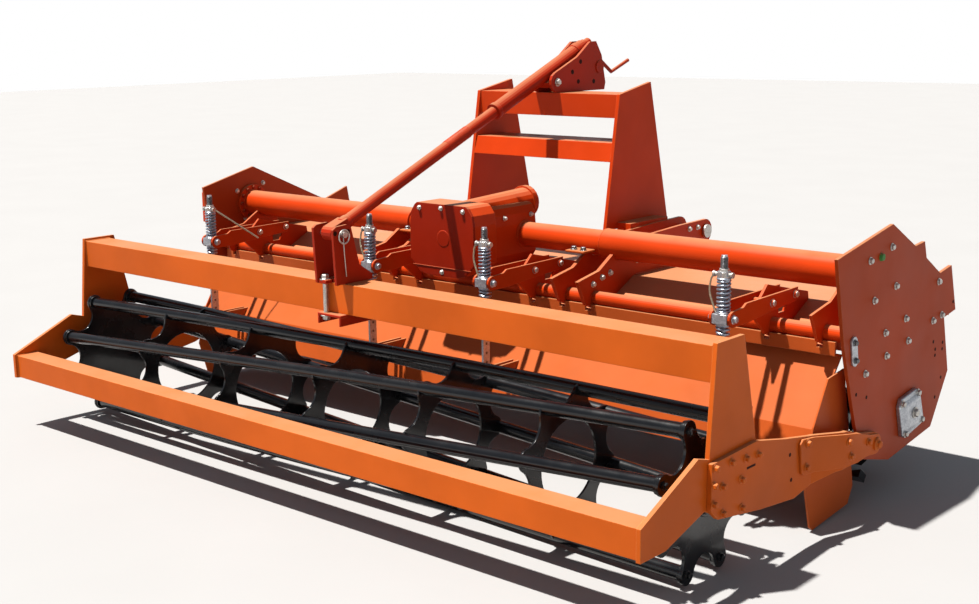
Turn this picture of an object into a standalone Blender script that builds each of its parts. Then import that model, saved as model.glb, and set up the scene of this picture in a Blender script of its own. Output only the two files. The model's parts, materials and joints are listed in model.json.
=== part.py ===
"""Tractor-mounted rotary tiller with a rear cage roller.

Metres. +X is the machine's right side, +Y points to the tractor and +Z is up. The ground is Z = 0.
Side views are drawn as (Y, Z) points, and the machine's middle plane is X = 0.
"""

from math import asin, atan2, cos, hypot, pi, radians, sin

import bmesh
import bpy
from mathutils import Matrix, Vector

# Gaps
SEAT = 0.0003
RUNNING = 0.0005
CLEAR = 0.006

# Width
HALF_WIDTH = 1.600
SIDE_THICK = 0.012
OUTER_REACH = 0.055

# Main axes, seen from the side
TUBE = (0.235, 0.795)
HINGE = (0.075, 0.619)
TRUNNION = (-0.235, 0.693)
ROD_EYE = (-0.235, 0.345)
FRAME_PIVOT = (0.195, 0.240)
ROTOR_Y = 0.489
ROLLER_Y = -0.630
INPUT_Z = 0.904

# Rotor
ROTOR_RADIUS = 0.278
ROTOR_Z = ROTOR_RADIUS + 0.002
ROTOR_SHAFT_RADIUS = 0.045
ROTOR_STUB_RADIUS = 0.030
FLANGE_RADIUS = 0.110
FLANGE_THICK = 0.012
FLANGES = 11
BLADES_A_FLANGE = 6
BLADE_THICK = 0.010
BLADE_WIDTH = 0.055
BLADE_FOOT = 0.085
ROTOR_END_GAP = 0.045

# Main tube
TUBE_RADIUS = 0.050
SLEEVE_RADIUS = 0.057
TUBE_WALL = 0.010
SLEEVE_START = 0.500
TUBE_FLANGE_RADIUS = 0.085
TUBE_FLANGE_THICK = 0.014

# Gearbox
GEARBOX_HALF = 0.163
GEARBOX_BODY_HALF = 0.100
GEARBOX_REAR = -0.133
GEARBOX_STEP = -0.015
GEARBOX_FRONT = 0.300
GEARBOX_TOP = 0.945
GEARBOX_BODY_TOP = 0.915
GEARBOX_FLAT = 0.125
COVER_THICK = 0.012
NOSE_ROOT = -0.030
NOSE_ROOT_RADIUS = 0.050
NOSE_RADIUS = 0.058
NOSE_FLANGE_RADIUS = 0.066
NOSE_FLANGE = 0.024
NOSE_FRONT = 0.365
SHAFT_RADIUS = 0.0225
SHAFT_LENGTH = 0.054

# Hood and tailboard
SHEET = 0.005
HINGE_RADIUS = 0.026
HINGE_STRIP = 0.008
KNUCKLE = 0.040
KNUCKLE_PLACES = (-1.40, -1.10, -0.80, -0.15, 0.15, 0.80, 1.10, 1.40)
HOOD_TOP = 0.668
HOOD_SLOPE = 0.5
HOOD_REAR = 0.105
HOOD_BEND = 0.316
HOOD_FRONT = (0.760, 0.838)
HOOD_LIP = 0.560
RIB_PLACE = 1.485
RIB_THICK = 0.010
BEND = (-0.091, 0.340)
SKIRT_THICK = 0.006
SKIRT_INSET = 0.037
LUG_THICK = 0.008

# Depth rods
ROD_PLACES = (-1.296, -0.297, 0.297, 1.296)
ROD_RADIUS = 0.010
ROD_TOP = 0.895
SPRING_RADIUS = 0.024
SPRING_TOP = 0.822
SPRING_BOTTOM = 0.515
TRUNNION_HALF = 0.021
ARM_GAP = 0.060
ARM_THICK = 0.008
FIN_THICK = 0.010
TRUNNION_PIN = 0.010
STRAP_THICK = 0.008
STRAP_WIDTH = 0.036

# Headstock and hitch
HEADSTOCK_HALF = 0.370
HEADSTOCK_THICK = 0.015
BEAM_REAR = 0.495
BEAM_DEPTH = 0.175
BEAM_BASE = 1.243
BEAM_HEIGHT = 0.092
BEAM_WALL = 0.008
HITCH_INNER = 0.430
HITCH_GAP = 0.105
HITCH_THICK = 0.015
HITCH_PIN = (0.820, 0.778)
EAR_RADIUS = 0.048
PIN_HOLE = 0.0185
YOKE_HALF_GAP = 0.042
YOKE_THICK = 0.012
TOP_PIN = (0.785, 1.430)

# Roller
BARS = 8
BAR_RADIUS = 0.0230
BAR_PITCH_RADIUS = 0.234
LOBE_RADIUS = 0.035
BAR_TWIST = radians(-45)
BAR_STEPS = 8
RING_HOLE = 0.145
VALLEY_RADIUS = 0.195
RING_LOBE_HALF = 0.036
RING_THICK = 0.008
DISC_THICK = 0.010
RINGS = 5
ROLLER_END_GAP = 0.060
ROLLER_STUB_RADIUS = 0.030
ROLLER_Z = BAR_PITCH_RADIUS + BAR_RADIUS
ROLLER_REACH = BAR_PITCH_RADIUS + LOBE_RADIUS

# Roller frame
PLATE = 0.015
FRAME_INSET = 0.050
TOP_BEAM_SIZE = 0.107
TOP_BEAM_DEPTH = 0.116
TOP_BEAM_REAR = ROLLER_Y - 0.071
TOP_BEAM_BASE = ROLLER_Z + ROLLER_REACH + 0.095
TOP_BEAM_WALL = 0.008
BUMPER_SIZE = 0.090
BUMPER_REAR = ROLLER_Y - 0.428
BUMPER_BASE = 0.207
PIVOT_BOSS = 0.026

# Jack
JACK_EYE = (ROLLER_Y - 0.075, TOP_BEAM_BASE + TOP_BEAM_SIZE + 0.177)
JACK_PIVOT = (0.501, 1.377)
JACK_LUG = 0.0355
JACK_TUBE_RADIUS = 0.0225
BARREL_RADIUS = 0.030
BARREL_START = 0.95
BARREL_LENGTH = 0.61
TUBE_IN_BARREL = 0.26
JACK_PIN = 0.012
JACK_BRACKET_GAP = 0.090
CRANK_RADIUS = 0.008
CRANK_REACH = 1.068

# Colours: red, green, blue, roughness, metallic
TILLER_ORANGE = (0.62, 0.085, 0.018, 0.42, 0.0)
FRAME_ORANGE = (0.72, 0.17, 0.035, 0.40, 0.0)
JACK_RED = (0.40, 0.035, 0.015, 0.42, 0.0)
GLOSS_BLACK = (0.006, 0.006, 0.007, 0.16, 0.0)
ZINC = (0.40, 0.41, 0.42, 0.38, 0.9)

SIDE_VIEW = Matrix(((0, 0, 1, 0), (1, 0, 0, 0), (0, 1, 0, 0), (0, 0, 0, 1)))
REAR_VIEW = Matrix(((1, 0, 0, 0), (0, 0, -1, 0), (0, 1, 0, 0), (0, 0, 0, 1)))
TOP_VIEW = Matrix.Identity(4)


def clear_scene():
    for thing in list(bpy.data.objects):
        bpy.data.objects.remove(thing, do_unlink=True)


def new_collection(name):
    made = bpy.data.collections.new(name)
    bpy.context.scene.collection.children.link(made)
    return made


def material(name, colour):
    made = bpy.data.materials.new(name)
    made.use_nodes = True
    shader = made.node_tree.nodes["Principled BSDF"]
    shader.inputs["Base Color"].default_value = (*colour[:3], 1.0)
    shader.inputs["Roughness"].default_value = colour[3]
    shader.inputs["Metallic"].default_value = colour[4]
    return made


def arc(centre, radius, start, end, steps):
    """Points on an arc, in degrees, from start to end."""
    angles = [radians(start + (end - start) * i / steps) for i in range(steps + 1)]
    return [(centre[0] + radius * cos(a), centre[1] + radius * sin(a)) for a in angles]


def circle(centre, radius, steps=12):
    return arc(centre, radius, 0, 360, steps)[:-1]


def hole_for(pin_radius, steps=12):
    """The radius of a faceted hole that a pin turns in."""
    return (pin_radius + RUNNING) / cos(pi / steps)


def box_outline(low, high):
    return [(low[0], low[1]), (high[0], low[1]), (high[0], high[1]), (low[0], high[1])]


def welded(mesh):
    work = bmesh.new()
    work.from_mesh(mesh)
    bmesh.ops.remove_doubles(work, verts=work.verts, dist=1e-6)
    bmesh.ops.recalc_face_normals(work, faces=work.faces)
    for face in work.faces:
        face.smooth = False
    work.to_mesh(mesh)
    work.free()
    return mesh


def curve_to_mesh(curve, name):
    """A curve's shape as a welded mesh."""
    holder = bpy.data.objects.new(name, curve)
    bpy.context.scene.collection.objects.link(holder)
    graph = bpy.context.evaluated_depsgraph_get()
    mesh = bpy.data.meshes.new_from_object(holder.evaluated_get(graph))
    bpy.data.objects.remove(holder)
    bpy.data.curves.remove(curve)
    mesh.name = name
    return welded(mesh)


def add_loop(curve, points):
    spline = curve.splines.new("POLY")
    spline.points.add(len(points) - 1)
    for spot, point in zip(spline.points, points):
        spot.co = (*Vector(point).to_3d(), 1.0)
    return spline


def outline_mesh(name, loops, low, high, view=SIDE_VIEW):
    """A flat outline, with any inner loops cut out, extruded from low to high across the view."""
    curve = bpy.data.curves.new(name, "CURVE")
    curve.dimensions = "2D"
    curve.fill_mode = "BOTH"
    curve.extrude = (high - low) / 2
    for loop in loops:
        add_loop(curve, loop).use_cyclic_u = True
    mesh = curve_to_mesh(curve, name)
    middle = (low + high) / 2 * (-1 if view is REAR_VIEW else 1)
    mesh.transform(view @ Matrix.Translation((0, 0, middle)))
    return mesh


def pipe_mesh(name, points, radius, resolution=2):
    """A round bar along 3-D points, with filled ends."""
    curve = bpy.data.curves.new(name, "CURVE")
    curve.dimensions = "3D"
    curve.bevel_depth = radius
    curve.bevel_resolution = resolution
    curve.use_fill_caps = True
    add_loop(curve, points)
    return curve_to_mesh(curve, name)


def cylinder_mesh(name, start, end, radius, end_radius=None, steps=12):
    """A cylinder or cone between two points."""
    start, end = Vector(start), Vector(end)
    work = bmesh.new()
    bmesh.ops.create_cone(
        work,
        cap_ends=True,
        segments=steps,
        radius1=radius,
        radius2=radius if end_radius is None else end_radius,
        depth=(end - start).length,
    )
    turn = (end - start).to_track_quat("Z", "Y").to_matrix().to_4x4()
    bmesh.ops.transform(work, matrix=Matrix.Translation((start + end) / 2) @ turn, verts=work.verts)
    mesh = bpy.data.meshes.new(name)
    work.to_mesh(mesh)
    work.free()
    return mesh


def joined_mesh(name, meshes):
    """Several meshes as one, which still counts as separate shells."""
    work = bmesh.new()
    for mesh in meshes:
        work.from_mesh(mesh)
    made = bpy.data.meshes.new(name)
    work.to_mesh(made)
    work.free()
    return made


class Builder:
    """Makes the named pieces, and keeps the cutters in a collection of their own."""

    def __init__(self):
        self.parts = new_collection("rotary_tiller")
        self.cutters = new_collection("cutters")
        self.cutters.hide_render = True
        self.axes = {}

    def axis(self, name, place):
        """An empty on a joint's axis, which the moving pieces hang on."""
        empty = bpy.data.objects.new(name, None)
        empty.location = place
        empty.empty_display_size = 0.1
        self.parts.objects.link(empty)
        self.axes[name] = empty

    def piece(self, name, mesh, colour, axis=None, smooth=False):
        mesh.name = name
        made = bpy.data.objects.new(name, mesh)
        self.parts.objects.link(made)
        mesh.materials.clear()
        mesh.materials.append(material(name, colour))
        if smooth:
            mesh.shade_smooth()
            mesh.set_sharp_from_angle(angle=radians(35))
        if axis:
            empty = self.axes[axis]
            made.parent = empty
            made.matrix_parent_inverse = Matrix.Translation(empty.location).inverted()
        return made

    def boolean(self, target, mesh, operation):
        tool = bpy.data.objects.new(f"{target.name}_{operation.lower()}", mesh)
        tool.hide_render = True
        tool.display_type = "WIRE"
        self.cutters.objects.link(tool)
        step = target.modifiers.new(operation.title(), "BOOLEAN")
        step.operation = operation
        step.object = tool

    def unite(self, target, *meshes):
        for mesh in meshes:
            self.boolean(target, mesh, "UNION")

    def cut(self, target, *meshes):
        for mesh in meshes:
            self.boolean(target, mesh, "DIFFERENCE")


# Side plates, tube and covers


def side_outline(notched):
    """The side plate's edge, clockwise from the rear top corner."""
    if notched:
        top = [(-0.075, 0.889), (0.310, 0.955)]
        front = [(0.493, 0.858), (0.566, 0.865), (0.587, 0.805), (0.710, 0.734), (0.807, 0.748)]
    else:
        top = [(-0.044, 0.890), (0.252, 0.962)]
        front = [(0.700, 0.760), (0.852, 0.811), (0.870, 0.720)]
    lower = [(0.864, 0.578), (0.765, 0.565), (0.823, 0.359), (0.696, 0.177), (0.354, 0.139)]
    rear = [(0.168, 0.187), (0.097, 0.314), (0.023, 0.514), (-0.008, 0.602)]
    return top + front + lower + rear


def side_plates(build):
    for side, name in ((1, "side_plate_right"), (-1, "side_plate_left")):
        faces = sorted((side * (HALF_WIDTH - SIDE_THICK), side * HALF_WIDTH))
        stub = circle((ROTOR_Y, ROTOR_Z), hole_for(ROTOR_STUB_RADIUS) + CLEAR)
        mesh = outline_mesh(name, [side_outline(side > 0), stub], *faces)
        build.piece(name, mesh, TILLER_ORANGE)


def main_tube(build):
    """Each half is turned: a thin tube by the gearbox, a sleeve, and a flange at the side plate."""
    end = HALF_WIDTH - SIDE_THICK - SEAT
    bore = TUBE_RADIUS - TUBE_WALL
    flange = end - TUBE_FLANGE_THICK
    start = GEARBOX_BODY_HALF + SEAT
    profile = [(start, bore), (start, TUBE_RADIUS), (SLEEVE_START, TUBE_RADIUS)]
    profile += [(SLEEVE_START, SLEEVE_RADIUS), (flange, SLEEVE_RADIUS), (flange, TUBE_FLANGE_RADIUS)]
    profile += [(end, TUBE_FLANGE_RADIUS), (end, bore)]
    for side, name in ((1, "main_tube_right"), (-1, "main_tube_left")):
        build.piece(name, turned_mesh(name, profile, TUBE, side), TILLER_ORANGE, smooth=True)


def turned_mesh(name, profile, centre, side=1, steps=24):
    """A closed profile of (distance along X, radius) points turned about a level axis through centre."""
    work = bmesh.new()
    verts = [work.verts.new((0, radius, along)) for along, radius in profile]
    edges = [work.edges.new((a, b)) for a, b in zip(verts, verts[1:] + verts[:1])]
    bmesh.ops.spin(
        work, geom=verts + edges, cent=(0, 0, 0), axis=(0, 0, 1), angle=2 * pi, steps=steps, use_merge=True
    )
    bmesh.ops.remove_doubles(work, verts=work.verts, dist=1e-6)
    bmesh.ops.recalc_face_normals(work, faces=work.faces)
    mesh = bpy.data.meshes.new(name)
    work.to_mesh(mesh)
    work.free()
    turn = Matrix(((0, 0, side, 0), (side, 0, 0, centre[0]), (0, 1, 0, centre[1]), (0, 0, 0, 1)))
    mesh.transform(turn)
    return mesh


def hood_line(y, above=SEAT):
    """The height of the hood's upper face at a distance along Y, and a little above it."""
    return HOOD_TOP + above - max(0.0, (HOOD_BEND - y) * HOOD_SLOPE)


def hood(build):
    """One bent sheet: a slope that passes under the hinge tube, a level top and a front lip."""
    half = HALF_WIDTH - SIDE_THICK - SEAT
    crest, lip = HOOD_FRONT
    upper = [(HOOD_REAR, hood_line(HOOD_REAR, 0)), (HOOD_BEND, HOOD_TOP)]
    upper += [(crest, HOOD_TOP), (lip, HOOD_LIP)]
    lower = [(lip - SHEET, HOOD_LIP), (crest - 0.003, HOOD_TOP - SHEET)]
    lower += [(HOOD_BEND + 0.001, HOOD_TOP - SHEET)]
    lower.append((HOOD_REAR + 0.002, hood_line(HOOD_REAR, 0) - SHEET))
    build.piece("hood", outline_mesh("hood", [upper + lower], -half, half), TILLER_ORANGE)


def rib_rear():
    """A rib's rear end on the hood's slope, from the tube's rear down round the hinge tube."""
    edge = [(0.100, 0.716), (0.000, 0.698), (-0.030, 0.692), (0.018, 0.600), (0.075, 0.577)]
    return edge + [(HOOD_REAR, hood_line(HOOD_REAR) + SEAT), (HOOD_BEND, hood_line(HOOD_BEND) + SEAT)]


def hinge_hole():
    return circle(HINGE, HINGE_RADIUS + 2 * SEAT, 24)


def side_ribs(build):
    """One upright rib by each side plate, under the main tube and over the hinge tube."""
    saddle = arc(TUBE, SLEEVE_RADIUS + 2 * SEAT, -30, -150, 8)
    outline = saddle + rib_rear()
    for side, name in ((1, "side_rib_right"), (-1, "side_rib_left")):
        faces = sorted((side * RIB_PLACE, side * (RIB_PLACE + RIB_THICK)))
        build.piece(name, outline_mesh(name, [outline, hinge_hole()], *faces), TILLER_ORANGE)


def hinge_tube(build):
    half = HALF_WIDTH - SIDE_THICK - SEAT
    mesh = cylinder_mesh("hinge_tube", (-half, *HINGE), (half, *HINGE), HINGE_RADIUS, steps=24)
    build.piece("hinge_tube", mesh, TILLER_ORANGE, smooth=True)


def drive_case(build):
    """The flat side case that takes the drive down to the rotor, outside the left plate."""
    outline = [(-0.020, 0.862), (-0.020, 0.726), (0.110, 0.700), (0.120, 0.500), (0.230, 0.330)]
    outline += arc((ROTOR_Y, ROTOR_Z), 0.125, 215, 350, 7)
    outline += [(0.560, 0.600), (0.470, 0.850), (0.330, 0.925), (0.150, 0.925)]
    low, high = -HALF_WIDTH - OUTER_REACH, -HALF_WIDTH - SEAT
    build.piece("drive_case", outline_mesh("drive_case", [outline], low, high), TILLER_ORANGE)


def bearing_cap(build):
    """The square cap on the right plate that carries the rotor's end."""
    base = HALF_WIDTH + SEAT
    corners = [(-0.095, 0.035), (-0.080, 0.062), (0.030, 0.075), (0.062, 0.070)]
    corners += [(0.105, -0.040), (0.090, -0.062), (-0.040, -0.085), (-0.062, -0.075)]
    outline = [(ROTOR_Y + y, ROTOR_Z + z) for y, z in corners]
    cap = build.piece("bearing_cap", outline_mesh("bearing_cap", [outline], base, base + 0.016), ZINC)
    start = (base + 0.010, ROTOR_Y, ROTOR_Z)
    end = (HALF_WIDTH + OUTER_REACH, ROTOR_Y, ROTOR_Z)
    build.unite(cap, cylinder_mesh("cap_boss", start, end, 0.050, 0.040, 20))


# Gearbox


def gearbox_outline(half, top, flat):
    """The case from behind: a chamfered lower half and rounded top corners."""
    base = HOOD_TOP + SEAT
    right = [(half * 0.48, base), (half * 0.70, base + 0.010), (half, base + 0.055)]
    right += [(half, top - 0.075), (half * 0.96, top - 0.035), (flat + 0.012, top - 0.008), (flat, top)]
    return right + [(-x, z) for x, z in reversed(right)]


def gearbox(build):
    """A squarish rear box, a narrower body between the main tubes, and a flanged nose."""
    rear = [gearbox_outline(GEARBOX_HALF, GEARBOX_TOP, GEARBOX_FLAT)]
    body = [gearbox_outline(GEARBOX_BODY_HALF, GEARBOX_BODY_TOP, GEARBOX_BODY_HALF * 0.7)]
    mesh = outline_mesh("gearbox", rear, GEARBOX_REAR, GEARBOX_STEP, REAR_VIEW)
    case = build.piece("gearbox", mesh, TILLER_ORANGE)
    front = outline_mesh("gearbox_body", body, GEARBOX_STEP - 0.010, GEARBOX_FRONT, REAR_VIEW)
    root, neck = (0, NOSE_ROOT, INPUT_Z - 0.010), (0, NOSE_FRONT - NOSE_FLANGE / 2, INPUT_Z)
    nose = cylinder_mesh("gearbox_nose", root, neck, NOSE_ROOT_RADIUS, NOSE_RADIUS, 20)
    start, end = (0, NOSE_FRONT - NOSE_FLANGE, INPUT_Z), (0, NOSE_FRONT, INPUT_Z)
    build.unite(case, front, nose, cylinder_mesh("nose_flange", start, end, NOSE_FLANGE_RADIUS, steps=20))
    faces = GEARBOX_REAR - COVER_THICK - SEAT, GEARBOX_REAR - SEAT
    build.piece("gearbox_cover", outline_mesh("gearbox_cover", rear, *faces, REAR_VIEW), TILLER_ORANGE)


def input_shaft(build):
    start = (0, NOSE_FRONT + RUNNING, INPUT_Z)
    end = (0, NOSE_FRONT + SHAFT_LENGTH, INPUT_Z)
    mesh = cylinder_mesh("input_shaft", start, end, SHAFT_RADIUS, steps=18)
    build.piece("input_shaft", mesh, GLOSS_BLACK, "input_axis", smooth=True)


# Headstock and hitch


def headstock(build):
    outer, inner = HEADSTOCK_HALF, HEADSTOCK_HALF - HEADSTOCK_THICK
    top = BEAM_BASE + BEAM_HEIGHT
    outline = [(BEAM_REAR - 0.002, top + 0.001), (BEAM_REAR + 0.208, top + 0.042)]
    outline += [(0.835, 0.810), (0.405, 0.810)]
    for side, name in ((1, "headstock_plate_right"), (-1, "headstock_plate_left")):
        faces = sorted((side * inner, side * outer))
        build.piece(name, outline_mesh(name, [outline], *faces), TILLER_ORANGE)
    half = inner - SEAT
    low, high = (BEAM_REAR, BEAM_BASE), (BEAM_REAR + BEAM_DEPTH, top)
    wall = BEAM_WALL
    hollow = box_outline((low[0] + wall, low[1] + wall), (high[0] - wall, high[1] - wall))
    mesh = outline_mesh("headstock_top_beam", [box_outline(low, high), hollow], -half, half)
    build.piece("headstock_top_beam", mesh, TILLER_ORANGE)
    tray = [(0.448, 1.075), (0.468, 1.148), (0.655, 1.148), (0.655, 1.090), (0.648, 1.090)]
    tray += [(0.648, 1.141), (0.474, 1.141), (0.456, 1.075)]
    name = "headstock_lower_beam"
    build.piece(name, outline_mesh(name, [tray], -half, half), TILLER_ORANGE)


def hitch_outline(tube_radius):
    """A long plate on the hood that saddles the tube from below and ends in the lower-link ear."""
    saddle = arc(TUBE, tube_radius + SEAT, 0, -150, 10)
    ear = arc(HITCH_PIN, EAR_RADIUS, -70, 80, 8)
    front = [(0.640, hood_line(0.640) + SEAT)] + ear + [(0.640, 0.822), (0.420, 0.812)]
    return saddle + rib_rear() + front


def hitch_brackets(build):
    inner = HITCH_INNER
    outer = inner + HITCH_THICK + HITCH_GAP
    for side, name in ((1, "hitch_bracket_right"), (-1, "hitch_bracket_left")):
        pin = circle(HITCH_PIN, PIN_HOLE)
        meshes = []
        for place, radius in ((inner, TUBE_RADIUS), (outer, SLEEVE_RADIUS)):
            faces = sorted((side * place, side * (place + HITCH_THICK)))
            meshes.append(outline_mesh(name, [hitch_outline(radius), pin, hinge_hole()], *faces))
        bracket = build.piece(name, meshes[0], TILLER_ORANGE)
        tie = sorted((side * (inner + 0.005), side * (outer + 0.005)))
        foot = sorted((side * (HEADSTOCK_HALF + SEAT), side * (inner + 0.005)))
        build.unite(bracket, meshes[1])
        build.unite(bracket, outline_mesh("tie", [box_outline((0.420, 0.700), (0.700, 0.715))], *tie))
        build.unite(bracket, outline_mesh("foot", [box_outline((0.480, 0.790), (0.740, 0.835))], *foot))


def jack_yoke(build):
    """Two ears on the top beam: the jack's pin at their rear, the top link's pin at their front."""
    top = BEAM_BASE + BEAM_HEIGHT
    edge = [(0.820, top + SEAT), (0.828, 1.365), (0.801, 1.478), (0.762, 1.536), (0.722, 1.535)]
    edge += [(0.635, 1.475)] + arc(JACK_PIVOT, 0.040, 110, 250, 5) + [(0.500, top + SEAT)]
    holes = [circle(JACK_PIVOT, hole_for(JACK_PIN)), circle(TOP_PIN, 0.016)]
    plates = []
    for side in (1, -1):
        faces = sorted((side * YOKE_HALF_GAP, side * (YOKE_HALF_GAP + YOKE_THICK)))
        plates.append(outline_mesh("yoke", [edge] + holes, *faces))
    yoke = build.piece("jack_yoke", plates[0], JACK_RED)
    half = YOKE_HALF_GAP + 0.006
    base = box_outline((0.560, top + SEAT + 0.0004), (BEAM_REAR + BEAM_DEPTH, top + 0.014))
    build.unite(yoke, plates[1], outline_mesh("yoke_base", [base], -half, half))


# Tailboard


def tailboard(build):
    """The rear flap: a strip under the hinge tube, a bent sheet, and lugs for the depth rods."""
    half = HALF_WIDTH - SIDE_THICK - SKIRT_INSET - SKIRT_THICK - SEAT
    front = HINGE[0] - HINGE_RADIUS - RUNNING
    rear = front - HINGE_STRIP
    outline = [(front, 0.599), (rear, 0.599), (rear, 0.554), (0.080, 0.5435), BEND, (-0.128, 0.222)]
    outline += [(-0.122, 0.221), (BEND[0] + 0.006, BEND[1] - 0.001)]
    outline += [(0.091, 0.543), (0.097, 0.549), (front, 0.561)]
    sheet = outline_mesh("tailboard", [outline], -half, half)
    flap = build.piece("tailboard", sheet, TILLER_ORANGE, "tailboard_axis")
    lug = [(-0.062, 0.371)] + arc(ROD_EYE, 0.026, 90, 270, 5) + [(-0.094, 0.319)]
    plates = []
    for place in ROD_PLACES:
        for side in (-1, 1):
            middle = place + side * (STRAP_THICK / 2 + CLEAR + LUG_THICK / 2)
            plates.append(outline_mesh("lug", [lug], middle - LUG_THICK / 2, middle + LUG_THICK / 2))
    build.unite(flap, joined_mesh("lugs", plates))
    knuckle = box_outline((rear + 0.002, 0.572), (HINGE[0] + 0.005, HINGE[1] - HINGE_RADIUS - RUNNING))
    spans = [(place - KNUCKLE / 2, place + KNUCKLE / 2) for place in KNUCKLE_PLACES]
    knuckles = [outline_mesh("knuckle", [knuckle], *span) for span in spans]
    build.unite(flap, joined_mesh("knuckles", knuckles))
    notches = []
    for low, high in fixed_ribs():
        outline = box_outline((rear - 0.010, 0.576), (front + 0.010, 0.610))
        notches.append(outline_mesh("notch", [outline], low - CLEAR, high + CLEAR))
    build.cut(flap, joined_mesh("notches", notches))


def fixed_ribs():
    """The faces of every plate that the hinge tube passes through."""
    found = [(place - FIN_THICK / 2, place + FIN_THICK / 2) for place in ROD_PLACES]
    outer_hitch = HITCH_INNER + HITCH_THICK + HITCH_GAP
    for inner, thick in ((HITCH_INNER, HITCH_THICK), (outer_hitch, HITCH_THICK), (RIB_PLACE, RIB_THICK)):
        found += [(inner, inner + thick), (-inner - thick, -inner)]
    return found


def skirts(build):
    edge = [(-0.009, 0.490), (0.101, 0.502), (0.195, 0.080), (0.162, 0.023), (-0.080, 0.002)]
    edge += [(-0.100, 0.016), (-0.146, 0.180), (-0.097, 0.347)]
    outer = HALF_WIDTH - SIDE_THICK - SKIRT_INSET
    for side, name in ((1, "skirt_right"), (-1, "skirt_left")):
        faces = sorted((side * (outer - SKIRT_THICK), side * outer))
        build.piece(name, outline_mesh(name, [edge], *faces), TILLER_ORANGE, "tailboard_axis")


# Depth rods


def rod_point(height):
    """The place on a depth rod's centre line at a given height."""
    share = (height - ROD_EYE[1]) / (TRUNNION[1] - ROD_EYE[1])
    return (ROD_EYE[0] + share * (TRUNNION[0] - ROD_EYE[0]), height)


def fin_outline():
    """A plate on the hood's slope, from the tube's rear to below the hinge tube."""
    edge = [(0.031, 0.762), (0.311, 0.696), (HOOD_BEND, hood_line(HOOD_BEND) + SEAT)]
    edge.append((HOOD_REAR, hood_line(HOOD_REAR) + SEAT))
    return edge + [(0.080, 0.575), (0.023, 0.597), (-0.063, 0.675)]


def rod_arms(build):
    """Each arm: two plates from the trunnion, bolted to a fin between them."""
    outline = arc(TRUNNION, 0.026, 100, 260, 6)
    outline += [(-0.150, 0.668), (0.020, 0.682), (0.165, 0.690)]
    outline += [(0.178, 0.736), (-0.156, 0.733), (-0.175, 0.722)]
    bore = circle(TRUNNION, hole_for(TRUNNION_PIN))
    window = [(0.108, 0.652), (0.150, 0.652), (0.168, 0.684), (0.105, 0.682)]
    for number, place in enumerate(ROD_PLACES, 1):
        name = f"rod_arm_{number}"
        plates = []
        for side in (-1, 1):
            faces = sorted((place + side * ARM_GAP / 2, place + side * (ARM_GAP / 2 + ARM_THICK)))
            plates.append(outline_mesh(name, [outline, bore], *faces))
        loops = [fin_outline(), hinge_hole(), window]
        fin = outline_mesh(name, loops, place - FIN_THICK / 2, place + FIN_THICK / 2)
        arm = build.piece(name, fin, TILLER_ORANGE)
        reach = ARM_GAP / 2 + ARM_THICK + 0.007
        for y, z in ((0.005, 0.708), (0.157, 0.714)):
            bolt = cylinder_mesh("bolt", (place - reach, y, z), (place + reach, y, z), 0.012, steps=8)
            build.unite(arm, bolt)
        build.unite(arm, *plates)


def spring_packs(build):
    """The pivoting block on each depth rod, with the springs above and below it as sleeves."""
    shared = None
    for number, place in enumerate(ROD_PLACES, 1):
        name = f"spring_pack_{number}"
        low, high = rod_point(SPRING_BOTTOM), rod_point(SPRING_TOP)
        sleeve = cylinder_mesh(name, (place, *low), (place, *high), SPRING_RADIUS, steps=14)
        pack = build.piece(name, sleeve, ZINC, "trunnion_axis", smooth=True)
        half = ARM_GAP / 2 - 0.003
        size = TRUNNION_HALF
        low = (TRUNNION[0] - size - 0.006, TRUNNION[1] - size)
        high = (TRUNNION[0] + size + 0.006, TRUNNION[1] + size)
        corners = box_outline(low, high)
        block = outline_mesh("block", [corners], place - half, place + half)
        reach = ARM_GAP / 2 + ARM_THICK
        pins = cylinder_mesh("pins", (place - reach, *TRUNNION), (place + reach, *TRUNNION), TRUNNION_PIN)
        build.unite(pack, block, pins)
        low, high = rod_point(SPRING_BOTTOM - 0.05), rod_point(SPRING_TOP + 0.05)
        bore = cylinder_mesh("bore", (place, *low), (place, *high), ROD_RADIUS + 0.002, steps=14)
        build.cut(pack, bore)


def spring_rods(build):
    """Each rod has a nut on its upper spring, a collar under its lower one, and a flat eye."""
    for number, place in enumerate(ROD_PLACES, 1):
        name = f"spring_rod_{number}"
        low, high = rod_point(SPRING_BOTTOM - 0.030), rod_point(ROD_TOP)
        mesh = cylinder_mesh(name, (place, *low), (place, *high), ROD_RADIUS, steps=12)
        rod = build.piece(name, mesh, ZINC, "trunnion_axis", smooth=True)
        low, high = rod_point(SPRING_TOP + SEAT), rod_point(SPRING_TOP + 0.022)
        build.unite(rod, cylinder_mesh("nut", (place, *low), (place, *high), 0.022, steps=6))
        low, high = rod_point(SPRING_BOTTOM - 0.020), rod_point(SPRING_BOTTOM - SEAT)
        build.unite(rod, cylinder_mesh("collar", (place, *low), (place, *high), 0.022, steps=12))
        top = rod_point(SPRING_BOTTOM - 0.010)
        half = STRAP_WIDTH / 2
        strap = [(top[0] + half, top[1]), (top[0] - half, top[1])] + arc(ROD_EYE, half, 184, 356, 7)
        low, high = place - STRAP_THICK / 2, place + STRAP_THICK / 2
        build.unite(rod, outline_mesh("strap", [strap], low, high))


# Jack


def jack_angle():
    """The jack's slope, with its pivot lug hanging below its centre line."""
    rise, run = JACK_PIVOT[1] - JACK_EYE[1], JACK_PIVOT[0] - JACK_EYE[0]
    return atan2(rise, run) + asin(JACK_LUG / hypot(rise, run))


def jack_point(along, above=0.0, across=0.0):
    """A point on the jack, from its lower eye: along its length, above its centre line, and across."""
    angle = jack_angle()
    y = JACK_EYE[0] + along * cos(angle) - above * sin(angle)
    z = JACK_EYE[1] + along * sin(angle) + above * cos(angle)
    return (across, y, z)


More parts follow.
